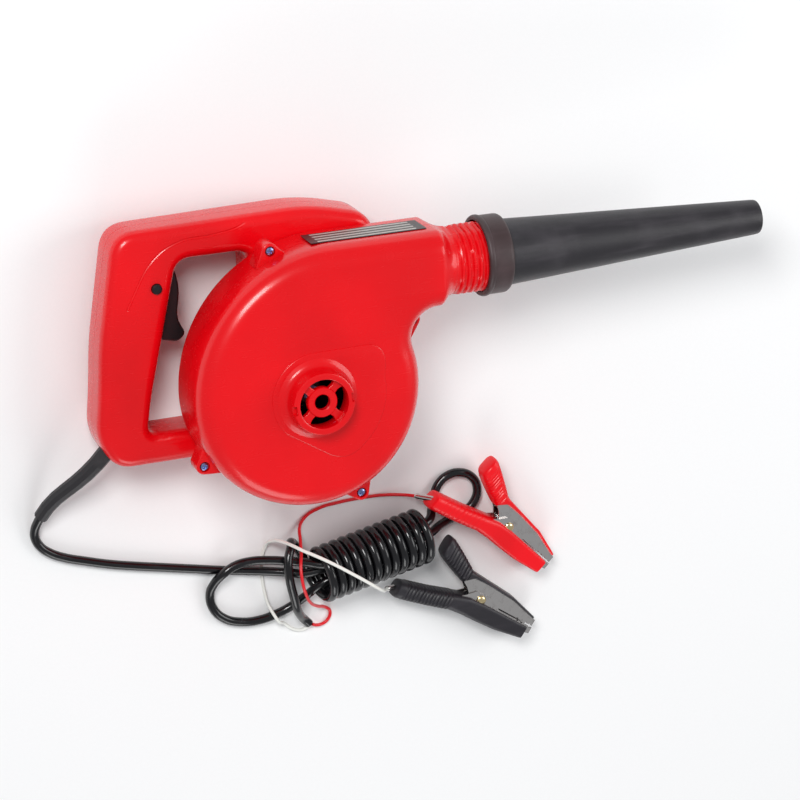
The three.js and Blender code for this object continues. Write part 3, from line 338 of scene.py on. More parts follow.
@dataclass(frozen=True)
class Plated:
    """Plated or drawn metal with fine scratches and dull patches."""

    name: str
    colour: Colour
    dull: Colour
    roughness: float = 0.2
    scratch: Point3 = (1, 12, 1)

    def material(self) -> bpy.types.Material:
        """Builds the material."""
        paint = Paint(self.name)
        scratches = paint.noise(1.6, 4, self.scratch, seed=12.0)
        patches = paint.noise(5, 5, seed=13.0).steps(0.5, 0.75)
        return paint.set(
            Base_Color=paint.blend(patches * 0.7, self.colour, self.dull),
            Metallic=1.0,
            Roughness=patches * 0.22 + scratches * 0.14 + (self.roughness - 0.07),
            Normal=paint.bump(scratches, 0.012),
        )


@dataclass(frozen=True)
class BandedLabel:
    """Dark printed foil with plain pale bands."""

    name: str
    colour: Colour
    band: Colour
    start: Point3
    pitch: float = 5.2
    thick: float = 0.42

    def material(self) -> bpy.types.Material:
        """Builds the material."""
        paint = Paint(self.name)
        axes = paint.tree.nodes.new("ShaderNodeSeparateXYZ")
        paint.tree.links.new(paint.place.socket, axes.inputs[0])
        along, across = Value(paint, axes.outputs["X"]), Value(paint, axes.outputs["Z"])
        rows = (across - self.start[2] * MM) * (1 / (self.pitch * MM))
        row = paint.node("ShaderNodeMath", {"operation": "FRACT"}, {0: rows})
        bands = (row > 0.3) * (row < 0.3 + self.thick)
        ends = (along > (self.start[0] + 5) * MM) * (along < (self.start[0] + 70) * MM)
        wear = paint.noise(2.0, 4, seed=15.0)
        return paint.set(
            Base_Color=paint.blend(bands * ends * (0.55 + wear * 0.3), self.colour, self.band),
            Roughness=wear * 0.25 + 0.22,
            Normal=paint.bump(wear, 0.01),
        )


class Finish(Enum):
    """The finishes of the blower's pieces."""

    HOUSING = GlossPlastic("red_housing", linear(232, 2, 16), linear(206, 1, 10), 0.24, 0.22)
    SLEEVE_RED = GlossPlastic("red_sleeve", linear(242, 4, 22), linear(206, 2, 12), 0.34, 0.1, 0.05)
    TRIGGER = GlossPlastic("black_trigger", linear(26, 25, 28), linear(14, 13, 15), 0.34, 0.1, 0.03)
    FAN = GlossPlastic("black_fan", linear(34, 33, 38), linear(18, 17, 20), 0.3, 0.2, 0.03)
    NOZZLE = GrainPlastic("charcoal_nozzle", linear(38, 36, 40), linear(70, 66, 71), 0.42, 0.8, 0.05, 0.4)
    COLLAR = GrainPlastic("brown_collar", linear(58, 43, 44), linear(88, 70, 73), 0.42, 0.6, 0.03, 0.2)
    GUARD = GrainPlastic("dark_guard", linear(36, 34, 37), linear(60, 57, 60), 0.45, 0.5, 0.03, 0.2)
    SLEEVE_BLACK = GrainPlastic("black_sleeve", linear(36, 34, 39), linear(62, 58, 64), 0.4, 0.6, 0.03, 0.3)
    CORD = CordJacket("black_cord", linear(12, 12, 15), linear(30, 29, 33), 0.18)
    WIRE_RED = CordJacket("red_wire", linear(226, 20, 34), linear(190, 30, 40))
    WIRE_WHITE = CordJacket("white_wire", linear(238, 238, 232), linear(205, 203, 196), 0.4)
    NICKEL = Plated("nickel_jaw", (0.72, 0.69, 0.67), (0.42, 0.39, 0.38), 0.16)
    SPRING = Plated("spring_wire", (0.62, 0.62, 0.64), (0.4, 0.4, 0.41), 0.22, (9, 1, 1))
    ZINC = Plated("blue_zinc", (0.3, 0.36, 0.66), (0.2, 0.22, 0.4), 0.24, (1, 1, 9))
    BRASS = Plated("brass_rivet", (0.86, 0.7, 0.4), (0.55, 0.42, 0.22), 0.2)
    COPPER = Plated("copper_winding", (0.8, 0.4, 0.22), (0.5, 0.25, 0.14), 0.3, (1, 1, 14))
    STEEL = Plated("steel_can", (0.55, 0.55, 0.56), (0.35, 0.34, 0.34), 0.3, (1, 1, 10))
    FERRITE = GrainPlastic("ferrite", linear(52, 50, 50), linear(80, 77, 74), 0.6, 0.5, 0.05, 0.1)
    LABEL = BandedLabel("rating_foil", linear(22, 22, 24), linear(214, 214, 206), (6.0, 0.0, 59.5))

    def get(self) -> bpy.types.Material:
        """The material, made on first use."""
        name = f"finish_{self.value.name}"
        return bpy.data.materials.get(name) or self.value.material()


# ---- Mesh building ----------------------------------------------------------------------------


@dataclass
class Skin:
    """Points, in millimetres, and faces of a surface under construction."""

    points: list[Vector] = field(default_factory=list)
    faces: list[tuple[int, ...]] = field(default_factory=list)

    def row(self, points: Iterable[Sequence[float]]) -> list[int]:
        """Adds points.

        Args:
            points: their positions.

        Returns:
            Their numbers.
        """
        first = len(self.points)
        self.points.extend(Vector(p) for p in points)
        return list(range(first, len(self.points)))

    def strip(self, first: Sequence[int], second: Sequence[int], closed: bool = False) -> None:
        """Joins two rows of points with quads.

        Args:
            first: one row.
            second: the other, with as many points.
            closed: whether the rows are rings.
        """
        count = len(first)
        for i in range(count if closed else count - 1):
            j = (i + 1) % count
            self.faces.append((first[i], first[j], second[j], second[i]))

    def rings(self, rows: Sequence[Sequence[int]], closed: bool = True, around: bool = False) -> None:
        """Joins each row with the next.

        Args:
            rows: the rows in order.
            closed: whether each row is a ring.
            around: whether the last row joins the first.
        """
        for first, second in zip(rows, rows[1:]):
            self.strip(first, second, closed)
        if around:
            self.strip(rows[-1], rows[0], closed)

    def flat(self, *loops: Sequence[int]) -> None:
        """Fills a flat region inside the first loop and outside the others."""
        numbers = [n for loop in loops for n in loop]
        for face in geometry.tessellate_polygon([[self.points[n] for n in loop] for loop in loops]):
            self.faces.append(tuple(numbers[i] for i in face))

    def piece(self, name: str, finish: Finish, sharp: float = SHARP) -> bpy.types.Object:
        """Makes the object, in metres, with outward faces.

        Args:
            name: the object's name.
            finish: its finish.
            sharp: the angle above which an edge stays sharp.

        Returns:
            The object.
        """
        mesh = bpy.data.meshes.new(name)
        mesh.from_pydata([p * MM for p in self.points], [], self.faces)
        tidy = bmesh.new()
        tidy.from_mesh(mesh)
        bmesh.ops.remove_doubles(tidy, verts=tidy.verts, dist=1e-7)
        bmesh.ops.recalc_face_normals(tidy, faces=tidy.faces)
        tidy.to_mesh(mesh)
        tidy.free()
        made = bpy.data.objects.new(name, mesh)
        bpy.context.scene.collection.objects.link(made)
        return dress(made, finish, sharp)


def shade(piece: bpy.types.Object, sharp: float) -> None:
    """Smooth shading, with the edges above an angle in degrees kept sharp."""
    piece.data.polygons.foreach_set("use_smooth", [True] * len(piece.data.polygons))
    piece.data.set_sharp_from_angle(angle=math.radians(sharp))


def dress(piece: bpy.types.Object, finish: Finish, sharp: float = SHARP) -> bpy.types.Object:
    """Gives a piece its finish and smooth shading.

    Args:
        piece: the object.
        finish: its finish.
        sharp: the angle above which an edge stays sharp.

    Returns:
        The object.
    """
    piece.data.materials.clear()
    piece.data.materials.append(finish.get())
    shade(piece, sharp)
    return piece


def combine(
    piece: bpy.types.Object, tools: Sequence[bpy.types.Object], operation: str, sharp: float = SHARP
) -> None:
    """Joins solids to a piece, or cuts them from it.

    Args:
        piece: the piece that changes.
        tools: the other solids, which are used up.
        operation: UNION or DIFFERENCE.
        sharp: the angle above which an edge stays sharp.
    """
    for tool in tools:
        change = piece.modifiers.new("change", "BOOLEAN")
        change.operation = operation
        change.solver = "EXACT"
        change.object = tool
        bpy.context.view_layer.update()
        found = piece.evaluated_get(bpy.context.evaluated_depsgraph_get())
        mesh = bpy.data.meshes.new_from_object(found)
        piece.modifiers.clear()
        old, piece.data = piece.data, mesh
        bpy.data.meshes.remove(old)
    for tool in tools:
        bpy.data.objects.remove(tool)
    shade(piece, sharp)


def arc(centre: Point, radii: Point, start: float, end: float, steps: int) -> list[Point]:
    """Points on an ellipse between two angles in degrees."""
    angles = [math.radians(start + (end - start) * i / steps) for i in range(steps + 1)]
    return [(centre[0] + radii[0] * math.cos(a), centre[1] + radii[1] * math.sin(a)) for a in angles]


def circle(radius: float, height: float, segments: int) -> list[Point3]:
    """Points round the Z axis at a height."""
    angles = (2 * math.pi * i / segments for i in range(segments))
    return [(radius * math.cos(a), radius * math.sin(a), height) for a in angles]


def rounded(corners: Sequence[tuple[float, ...]], steps: int = 10) -> list[Point]:
    """A polygon with rounded corners.

    Args:
        corners: x, y and the distance cut off each side of the corner.
        steps: the segments in each rounded corner.

    Returns:
        Its points.
    """
    outline: list[Point] = []
    for i, (x, y, *rest) in enumerate(corners):
        here, cut = Vector((x, y)), rest[0] if rest else 0.0
        if cut <= 0:
            outline.append((x, y))
            continue
        before = here + (Vector(corners[i - 1][:2]) - here).normalized() * cut
        after = here + (Vector(corners[(i + 1) % len(corners)][:2]) - here).normalized() * cut
        for s in range(steps + 1):
            t = s / steps
            outline.append(tuple(before * (1 - t) ** 2 + here * 2 * t * (1 - t) + after * t * t))
    return outline


def spaced(outline: Sequence[Point], gap: float, closed: bool = True) -> list[Point]:
    """An outline with points added so that none are further apart than a gap."""
    found: list[Point] = []
    pairs = zip(outline, [*outline[1:], outline[0]] if closed else outline[1:])
    for (x0, y0), (x1, y1) in pairs:
        count = max(1, math.ceil(math.hypot(x1 - x0, y1 - y0) / gap))
        found += [(x0 + (x1 - x0) * i / count, y0 + (y1 - y0) * i / count) for i in range(count)]
    return found if closed else [*found, outline[-1]]


def drawn_in(outline: Sequence[Point], distance: float, closed: bool = True) -> list[Point]:
    """An outline moved to its left, which is inwards when it runs anticlockwise.

    Args:
        outline: its points.
        distance: how far it moves.
        closed: whether it is a ring.

    Returns:
        The moved points.
    """
    count = len(outline)
    moved: list[Point] = []
    for i in range(count):
        here = Vector(outline[i])
        ahead = (Vector(outline[(i + 1) % count]) - here).normalized() if closed or i < count - 1 else None
        behind = (here - Vector(outline[i - 1])).normalized() if closed or i > 0 else None
        ahead, behind = ahead or behind, behind or ahead
        normal = Vector((-ahead.y - behind.y, ahead.x + behind.x))
        share = max(0.3, normal.length_squared / 4)
        moved.append(tuple(here + normal * (distance / (2 * share))))
    return moved


def edge_profile(base: float, face: float, radius: float, inset: float = 0.0, steps: int = 8) -> list[Point]:
    """A wall that turns over into a face.

    Args:
        base: height where the wall starts.
        face: height of the face.
        radius: radius of the edge between them.
        inset: how far inside the surface it runs.
        steps: segments round the edge.

    Returns:
        Pairs of distance drawn in and height.
    """
    way = 1 if face > base else -1
    turn = radius - inset
    profile = [(inset, base), (inset, face - way * radius)]
    for s in range(1, steps + 1):
        angle = math.pi / 2 * s / steps
        profile.append((radius - turn * math.cos(angle), face - way * (radius - turn * math.sin(angle))))
    return profile


def slab(
    outline: Sequence[Point], base: float, face: float, radius: float,
    hole: Sequence[Point] | None = None, steps: int = 8,
) -> Skin:
    """A solid with a flat base and a face with a rounded edge.

    Args:
        outline: its plan, anticlockwise.
        base: height of the base.
        face: height of the face.
        radius: radius of the edge round the face.
        hole: plan of a hole, clockwise.
        steps: segments round the edge.

    Returns:
        The skin.
    """
    profile = edge_profile(base, face, radius, 0.0, steps)
    skin = Skin()
    ends: list[tuple[list[int], list[int]]] = []
    for loop in filter(None, (outline, hole)):
        rows = [skin.row((x, y, z) for x, y in drawn_in(loop, inset)) for inset, z in profile]
        skin.rings(rows)
        ends.append((rows[0], rows[-1]))
    skin.flat(*(e[0] for e in ends))
    skin.flat(*(e[1] for e in ends))
    return skin


def lathe(profile: Sequence[Point], segments: int = ROUND, closed: bool = False) -> Skin:
    """A profile of radius and height turned about Z.

    Args:
        profile: its points; a radius of zero closes an end.
        segments: segments round.
        closed: whether the last point joins the first.

    Returns:
        The skin.
    """
    skin = Skin()
    rows: list[list[int]] = []
    for radius, height in profile:
        if radius <= 0:
            rows.append(skin.row([(0, 0, height)]) * segments)
        else:
            rows.append(skin.row(circle(radius, height, segments)))
    skin.rings(rows, True, closed)
    skin.faces = [tuple(dict.fromkeys(f)) for f in skin.faces]
    skin.faces = [f for f in skin.faces if len(f) > 2]
    return skin


def moved(skin: Skin, matrix: Matrix) -> Skin:
    """A skin after a transform."""
    return Skin([matrix @ p for p in skin.points], skin.faces)


def brick(low: Point3, high: Point3) -> Skin:
    """A block between two corners, used to cut."""
    (left, near, base), (right, far, face) = low, high
    return slab([(left, near), (right, near), (right, far), (left, far)], base, face, 0.0, steps=1)


def pipe(path: Sequence[Vector], radius: Callable[[float], float], sides: int = 16) -> Skin:
    """A closed tube along a path.

    Args:
        path: its centreline.
        radius: the radius at a share of the way along.
        sides: segments round.

    Returns:
        The skin.
    """
    skin = Skin()
    rows: list[list[int]] = []
    normal = (path[1] - path[0]).orthogonal().normalized()
    for i, here in enumerate(path):
        tangent = (path[min(i + 1, len(path) - 1)] - path[max(i - 1, 0)]).normalized()
        normal = (normal - tangent * normal.dot(tangent)).normalized()
        side = tangent.cross(normal)
        r = radius(i / (len(path) - 1))
        angles = (2 * math.pi * k / sides for k in range(sides))
        rows.append(skin.row(here + normal * (r * math.cos(a)) + side * (r * math.sin(a)) for a in angles))
    skin.rings(rows)
    skin.faces += [tuple(reversed(rows[0])), tuple(rows[-1])]
    return skin


def smooth_path(points: Sequence[Sequence[float]], spacing: float) -> list[Vector]:
    """A smooth curve through points.

    Args:
        points: the points, in order.
        spacing: the distance between the curve's own points.

    Returns:
        The curve's points.
    """
    given = [Vector(p) for p in points]
    given = [given[0] * 2 - given[1], *given, given[-1] * 2 - given[-2]]
    found: list[Vector] = []
    for a, b, c, d in zip(given, given[1:], given[2:], given[3:]):
        t1 = max((b - a).length, 1e-6) ** 0.5
        t2 = t1 + max((c - b).length, 1e-6) ** 0.5
        t3 = t2 + max((d - c).length, 1e-6) ** 0.5
        count = max(2, math.ceil((c - b).length / spacing))
        for s in range(count):
            t = t1 + (t2 - t1) * s / count
            ab, bc, cd = a.lerp(b, t / t1), b.lerp(c, (t - t1) / (t2 - t1)), c.lerp(d, (t - t2) / (t3 - t2))
            first, second = ab.lerp(bc, t / t2), bc.lerp(cd, (t - t1) / (t3 - t1))
            found.append(first.lerp(second, (t - t1) / (t2 - t1)))
    return [*found, given[-2].copy()]


def fit(piece: bpy.types.Object, body: str, slot: str, *nodes: str) -> bpy.types.Object:
    """Puts a piece on its CAD body in place of CAD nodes.

    Args:
        piece: the finished piece.
        body: the CAD body that it moves with.
        slot: the record's material slot; not used.
        *nodes: the CAD nodes that it stands for.

    Returns:
        The piece.
    """
    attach(piece, body)
    if nodes:
        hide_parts(*nodes)
    LOG.info("%s rides on %s", piece.name, body)
    return piece


# ---- Studio -----------------------------------------------------------------------------------


@dataclass
class Studio:
    """The camera, the pale floor and the soft lights."""

    target: Point3 = (0.0717, -0.0267, 0.049)
    right: Point3 = (0.936, -0.036, 0.350)
    up: Point3 = (0.145, 0.946, -0.289)
    back: Point3 = (-0.321, 0.321, 0.891)
    distance: float = 2.0
    lens: float = 140.0
    sensor: float = 36.0
    floor_reach: float = 4000.0

    def camera(self) -> None:
        """Places the camera above the front left."""
        data = bpy.data.cameras.new("camera")
        data.lens, data.sensor_width, data.clip_end = self.lens, self.sensor, 20.0
        camera = bpy.data.objects.new("camera", data)
        turn = Matrix((self.right, self.up, self.back)).transposed().to_4x4()
        place = Vector(self.target) + Vector(self.back) * self.distance
        camera.matrix_world = Matrix.Translation(place) @ turn
        bpy.context.scene.collection.objects.link(camera)
        bpy.context.scene.camera = camera

    def light(self, name: str, place: Point3, size: float, power: float) -> None:
        """Adds a square lamp aimed at the object.

        Args:
            name: its name.
            place: where it hangs.
            size: its side.
            power: its power.
        """
        data = bpy.data.lights.new(name, "AREA")
        data.size, data.energy = size, power
        lamp = bpy.data.objects.new(name, data)
        lamp.location = place
        aim = Vector(self.target) - Vector(place)
        lamp.rotation_euler = aim.to_track_quat("-Z", "Y").to_euler()
        bpy.context.scene.collection.objects.link(lamp)

    def build(self) -> None:
        """Adds the floor, the lights and the pale surroundings."""
        self.camera()
        skin = Skin()
        reach = self.floor_reach
        corners = [(-reach, -reach, 0), (reach, -reach, 0), (reach, reach, 0), (-reach, reach, 0)]
        skin.faces.append(tuple(skin.row(corners)))
        floor = skin.piece("floor", Finish.HOUSING)
        floor.data.materials[0] = self.paper()
        self.light("key", (-0.7, 1.0, 1.5), 0.6, 22)
        self.light("fill", (1.3, 0.2, 1.1), 0.9, 9)
        self.light("low", (-0.1, -1.5, 0.8), 0.8, 7)
        world = bpy.data.worlds.new("surroundings")
        world.use_nodes = True
        sky = world.node_tree.nodes["Background"]
        sky.inputs["Color"].default_value = (0.95, 0.97, 1.0, 1.0)
        sky.inputs["Strength"].default_value = 0.38
        bpy.context.scene.world = world
        bpy.context.scene.view_settings.view_transform = "Standard"

    def paper(self) -> bpy.types.Material:
        """The floor's white paper."""
        paint = Paint("paper")
        fibre = paint.noise(2.0, 3)
        return paint.set(
            Base_Color=paint.blend(fibre, (0.93, 0.93, 0.93), (0.9, 0.9, 0.9)),
            Roughness=fibre * 0.1 + 0.8,
            Specular_IOR_Level=0.2,
        )


# ---- Cord and wires ---------------------------------------------------------------------------


@dataclass
class Supply:
    """The two-core cord, folded into a wrapped hank, and the two wires that leave its end."""

    cord_radius: float = 3.0
    wire_radius: float = 1.1
    hank_start: Point = (14.0, -152.5)
    hank_end: Point = (101.0, -133.5)
    wraps: int = 12
    wrap_half_width: float = 16.3
    wrap_half_height: float = 15.0
    wrap_height: float = 18.4
    strand_height: float = 12.0

    lead: tuple[Point3, ...] = (
        (-160.2, -82.9, 8.8), (-162, -87, 6.9), (-163.5, -92, 5), (-163.5, -98, 3.7),
        (-160.5, -104.5, 3.2), (-154.5, -110, 3.2), (-145, -115, 3.2), (-132, -119.5, 3.2),
        (-116, -124.5, 3.2), (-98, -129, 3.2), (-78, -133.5, 3.2), (-58, -138, 3.2), (-40, -142, 3.2),
        (-24, -145, 3.6), (-10, -147, 6), (3, -148.6, 10), (11.4, -150, 12.6),
    )
    left_loop: tuple[Point3, ...] = (
        (12, -141, 15.5), (2, -139, 14), (-10, -137, 12), (-24, -136, 10.4), (-34, -137.5, 10.2),
        (-42, -142, 9.9), (-47.5, -149, 6.5), (-50, -158, 3.4), (-48, -168, 3.2), (-41, -176, 3.2),
        (-30, -180.5, 3.2), (-17, -181.5, 3.2), (-4, -179, 3.2), (5, -175.5, 3.8), (13.5, -169.5, 6.6),
    )
    right_loop: tuple[Point3, ...] = (
        (102, -127.2, 12.4), (106.2, -121.5, 6.8), (109, -114, 4.2), (113, -106.5, 3.2), (120, -101.5, 3.2),
        (129, -101, 3.2), (137, -105.5, 3.2), (140.5, -114, 3.2), (138, -123, 3.2), (130, -129.5, 3.2),
        (120, -132.5, 4.2), (111, -134.5, 7.6), (103.5, -136.5, 12),
    )
    tail: tuple[Point3, ...] = (
        (2.5, -128, 18.5), (-1, -134.5, 23), (-1.5, -143, 24.3), (0, -152.5, 22.5),
        (2.5, -162, 20), (5, -171, 16.6), (8.5, -178.5, 11), (13, -185, 5), (17.3, -190, 3.2),
    )
    red: tuple[Point3, ...] = (
        (19.5, -191, 3.4), (23, -192.6, 2.4), (28, -192.6, 1.3), (32, -189.4, 1.3), (33, -184.4, 1.3),
        (29.5, -180.8, 2.4), (22, -176, 10), (14, -168.5, 19), (9.5, -160, 24.5), (7, -151, 26.5),
        (7, -142, 24), (10, -133.5, 17), (12.5, -127.5, 8.5), (14.5, -120.5, 2.6), (19, -115, 1.3),
        (29, -110.5, 1.3), (42, -108.8, 1.3), (58, -108.2, 1.3), (74, -108.4, 2.2), (86, -108.8, 6.5),
        (94, -109, 12.5),
    )
    white: tuple[Point3, ...] = (
        (18, -192.6, 1.8), (13, -194.6, 1.3), (6, -192.5, 1.4), (0, -187, 2.2), (-4.5, -183.5, 7.8),
        (-8, -178, 9.2), (-10.5, -171.5, 5), (-12, -163, 2.4), (-13, -152, 1.3), (-13, -145, 1.3),
        (-12, -137, 1.3), (-9.5, -129.5, 3), (-7.5, -124.5, 10), (-5, -122, 18), (-0.5, -122.5, 26),
        (6, -125.5, 32.5), (14, -129.5, 36.5), (24, -135.5, 39), (36, -144, 39.4), (48, -153, 39),
        (56.5, -160, 36.4), (62, -164.8, 29.5), (66, -168, 21), (70, -170, 14.5),
    )

    def at(self, along: float, across: float, height: float) -> Point3:
        """A point of the hank from its distance along, its distance to the left and its height."""
        start, end = Vector(self.hank_start), Vector(self.hank_end)
        way = (end - start).normalized()
        spot = start + way * along + Vector((-way.y, way.x)) * across
        return (spot.x, spot.y, height)

    @property
    def hank_length(self) -> float:
        """The length of the hank."""
        return (Vector(self.hank_end) - Vector(self.hank_start)).length

    def windings(self) -> list[Point3]:
        """The turns round the folded strands, from the hank's right end to its left."""
        per_turn = 16
        start, end = self.hank_length - 7.0, 6.0
        found: list[Point3] = []
        for i in range(self.wraps * per_turn + 1):
            share = i / (self.wraps * per_turn)
            angle = math.radians(-45) + (2 * math.pi * self.wraps - math.radians(20)) * share
            lean = 2.6 * math.sin(angle)
            found.append(self.at(
                start + (end - start) * share + lean,
                self.wrap_half_width * math.cos(angle),
                self.wrap_height + self.wrap_half_height * math.sin(angle)))
        return found

    def route(self) -> list[Point3]:
        """The whole cord: lead, three folded strands with their bights, windings and tail."""
        length = self.hank_length
        first = [
            self.at(length * s, 1 + 4 * s, 13 + 4 * math.sin(math.pi * s)) for s in (0.15, 0.4, 0.6, 0.78)
        ]
        second = [
            self.at(length * s, 7 - 9 * s, 16.5 + 8 * math.sin(math.pi * s)) for s in (0.85, 0.6, 0.35, 0.18)
        ]
        third = [self.at(length * s, -8.6 + s, self.strand_height + 1) for s in (0.12, 0.3, 0.5)]
        bend = [self.at(62, -8, 12.2), self.at(72, -7.5, 11), self.at(79, -5.8, 8.6), self.at(82.3, -1, 6),
                self.at(81.9, 5.5, 5)]
        out = [self.at(1, 18.5, 5.0), self.at(-2.6, 25.8, 9.2)]
        folded = [*self.lead, *first, *self.right_loop, *second, *self.left_loop, *third, *bend]
        return [*folded, *self.windings(), *out, *self.tail]

    def curve(self, name: str, points: Sequence[Point3], radius: float, finish: Finish) -> bpy.types.Object:
        """Makes a round cord along points.

        Args:
            name: its name.
            points: its route in millimetres.
            radius: its radius in millimetres.
            finish: its finish.

        Returns:
            The curve.
        """
        data = bpy.data.curves.new(name, "CURVE")
        data.dimensions = "3D"
        data.bevel_depth, data.bevel_resolution, data.resolution_u = radius * MM, 5, 6
        data.use_fill_caps = True
        spline = data.splines.new("BEZIER")
        spline.bezier_points.add(len(points) - 1)
        for knot, point in zip(spline.bezier_points, points):
            knot.co = Vector(point) * MM
            knot.handle_left_type = knot.handle_right_type = "AUTO"
        data.materials.append(finish.get())
        cord = bpy.data.objects.new(name, data)
        bpy.context.scene.collection.objects.link(cord)
        return cord

    def length(self, points: Sequence[Point3]) -> float:
        """The length in metres of the smooth curve through points."""
        path = smooth_path(points, 1.0)
        return sum((b - a).length for a, b in zip(path, path[1:])) * MM

    def build(self, guard: bpy.types.Object) -> None:
        """Args:
            guard: the piece that the cord leaves the handle through; not used.
        """
        route = self.route()
        cord = self.curve("cord", route, self.cord_radius, Finish.CORD)
        fit(
            cord, "housing", "cord_jacket",
            "cord_lead", "cord_left_loop", "cord_right_loop", "cord_tail", "cord_hank",
        )
        round(self.length(route), 2)
        wires = (("red", self.red, Finish.WIRE_RED), ("white", self.white, Finish.WIRE_WHITE))
        for colour, points, finish in wires:
            wire = self.curve(f"{colour}_wire_piece", points, self.wire_radius, finish)
            fit(wire, "housing", f"{colour}_insulation", f"wire_{colour}")
            clamp = "red" if colour == "red" else "black"
            tuple(v * MM for v in points[0])
            round(self.length(points), 3)


# ---- Housing ----------------------------------------------------------------------------------


@dataclass
class Volute:
    """The fan's scroll-shaped case, parted across its middle, with its outlet and intake."""

    wall: float = 2.6
    gap: float = 0.15
    back: float = 46.0
    front: float = 97.0
    parting: float = OUTLET_Z
    right: float = 71.0
    bottom: float = 73.5
    left: float = 76.0
    outlet_y: float = OUTLET_Y
    outlet_half: float = 24.6
    duct_start: float = 86.0
    neck: float = 96.0
    thread_start: float = 98.0
    outlet_end: float = 131.0
    root: float = 21.4
    crest: float = 22.8
    pitch: float = 4.0
    bore: float = 18.8
    across: int = 16

    def outline(self) -> list[Point]:
        """The scroll, from the outlet's top edge round to its lower edge."""
        top, low = self.outlet_y + self.outlet_half, self.outlet_y - self.outlet_half
        throat = (85.0, 26.4)
        path = spaced([(self.duct_start, top), (17.6, top)], 6, False)
        path += arc((17.6, 0), (top, top), 90, 180, 40)[1:]
        path += arc((0, 0), (self.left, self.bottom), 180, 270, 32)[1:]
        path += arc((0, 0), (self.right, self.bottom), 270, 360, 32)[1:]
        path += arc((0, 0), (self.right, self.right), 0, 17.25, 6)[1:]
        path += arc(throat, (18, 18), 197.25, 93, 18)[1:]
        return [*path, (self.duct_start, low)]

    def thread(self, x: float, angle: float) -> float:
        """The outlet's outer radius at a place along it and an angle round it."""
        turn = ((x - self.thread_start) / self.pitch - angle / (2 * math.pi)) % 1.0
        ridge = min(1.0, max(0.0, (1 - abs(2 * turn - 1) - 0.34) / 0.3))
        fade = min(1.0, max(0.0, (x - self.thread_start) / 3), max(0.0, (self.outlet_end - x) / 3))
        return self.root + (self.crest - self.root) * ridge * fade

    def duct(self, skin: Skin, section: Sequence[int], inner: bool) -> list[list[int]]:
        """Carries one surface of a half out along the outlet.

        Args:
            skin: the skin.
            section: the surface's points where the outlet starts.
            inner: whether it is the inner surface.

        Returns:
            The rows of points along it.
        """
        rows = [list(section)]
        start = [skin.points[n].copy() for n in section]
        places = [self.duct_start + (self.neck - self.duct_start) * i / 10 for i in range(1, 11)]
        places += [self.neck + 1, self.thread_start]
        if inner:
            places += [(self.thread_start + self.outlet_end) / 2, self.outlet_end]
        else:
            steps = 80
            span = self.outlet_end - self.thread_start
            places += [self.thread_start + span * i / steps for i in range(1, steps + 1)]
        for x in places:
            share = min(1.0, (x - self.duct_start) / (self.neck - self.duct_start))
            share = share * share * (3 - 2 * share)
            row: list[Point3] = []
            for p in start:
                y, z = p.y - self.outlet_y, p.z - self.parting
                angle = math.atan2(z, y)
                if inner:
                    radius = self.bore
                elif x < self.thread_start:
                    radius = self.crest - 0.4 - max(0.0, x - self.neck) * 0.5
                else:
                    radius = self.thread(x, angle)
                y1, z1 = radius * math.cos(angle), radius * math.sin(angle)
                if abs(z) <= self.gap + 0.01:
                    z1 = z
                row.append((x, self.outlet_y + y + (y1 - y) * share, self.parting + z + (z1 - z) * share))
            rows.append(skin.row(row))
        skin.rings(rows, closed=False)
        return rows

    def half(self, face: float, radius: float, rim: Sequence[Point], hole: float) -> Skin:
        """One half of the case as a closed shell.

        Args:
            face: height of its flat face.
            radius: radius of the edge round the face.
            rim: profile of what stands round the face's hole, from the outside to the inside.
            hole: radius of the hole in the inner surface.

        Returns:
            The skin.
        """
        way = 1 if face > self.parting else -1
        base = self.parting + way * self.gap
        outline = self.outline()
        skin = Skin()
        seams: list[list[int]] = []
        ends: list[list[int]] = []
        for inner in (False, True):
            inset = self.wall if inner else 0.0
            level = face - way * self.wall if inner else face
            profile = edge_profile(base, level, radius - inset, 0.0, 10)
            rows = [skin.row((x, y, z) for x, y in drawn_in(outline, inset + d, False)) for d, z in profile]
            for row in rows:
                for end in (row[0], row[-1]):
                    skin.points[end].x = self.duct_start
            skin.rings(rows, closed=False)
            last, first = skin.points[rows[-1][-1]], skin.points[rows[-1][0]]
            edge = skin.row(last.lerp(first, i / self.across) for i in range(1, self.across))
            start = rim[0][0] if not inner else hole
            mouth = skin.row(circle(start, level, ROUND))
            skin.flat([*rows[-1], *edge], list(reversed(mouth)))
            section = [r[0] for r in rows] + list(reversed(edge)) + [r[-1] for r in reversed(rows)]
            along = self.duct(skin, section, inner)
            seams.append([r[0] for r in reversed(along)] + rows[0][1:-1] + [r[-1] for r in along])
            ends.append(along[-1])
            if inner:
                tail = mouth
            else:
                head = mouth
        self.seal(skin, seams, ends)
        steps = [skin.row(circle(radius, height, ROUND)) for radius, height in rim[1:]]
        skin.rings([head, *steps, tail])
        return skin

    def seal(self, skin: Skin, seams: Sequence[Sequence[int]], ends: Sequence[Sequence[int]]) -> None:
        """Joins a half's outer and inner surfaces along the parting line and at the outlet's end.

        Args:
            skin: the skin.
            seams: the outer and inner edges along the parting line.
            ends: the outer and inner edges at the outlet's end.
        """
        skin.strip(ends[0], ends[1])
        outer, inner = seams
        skin.flat([*outer, *reversed(inner)])

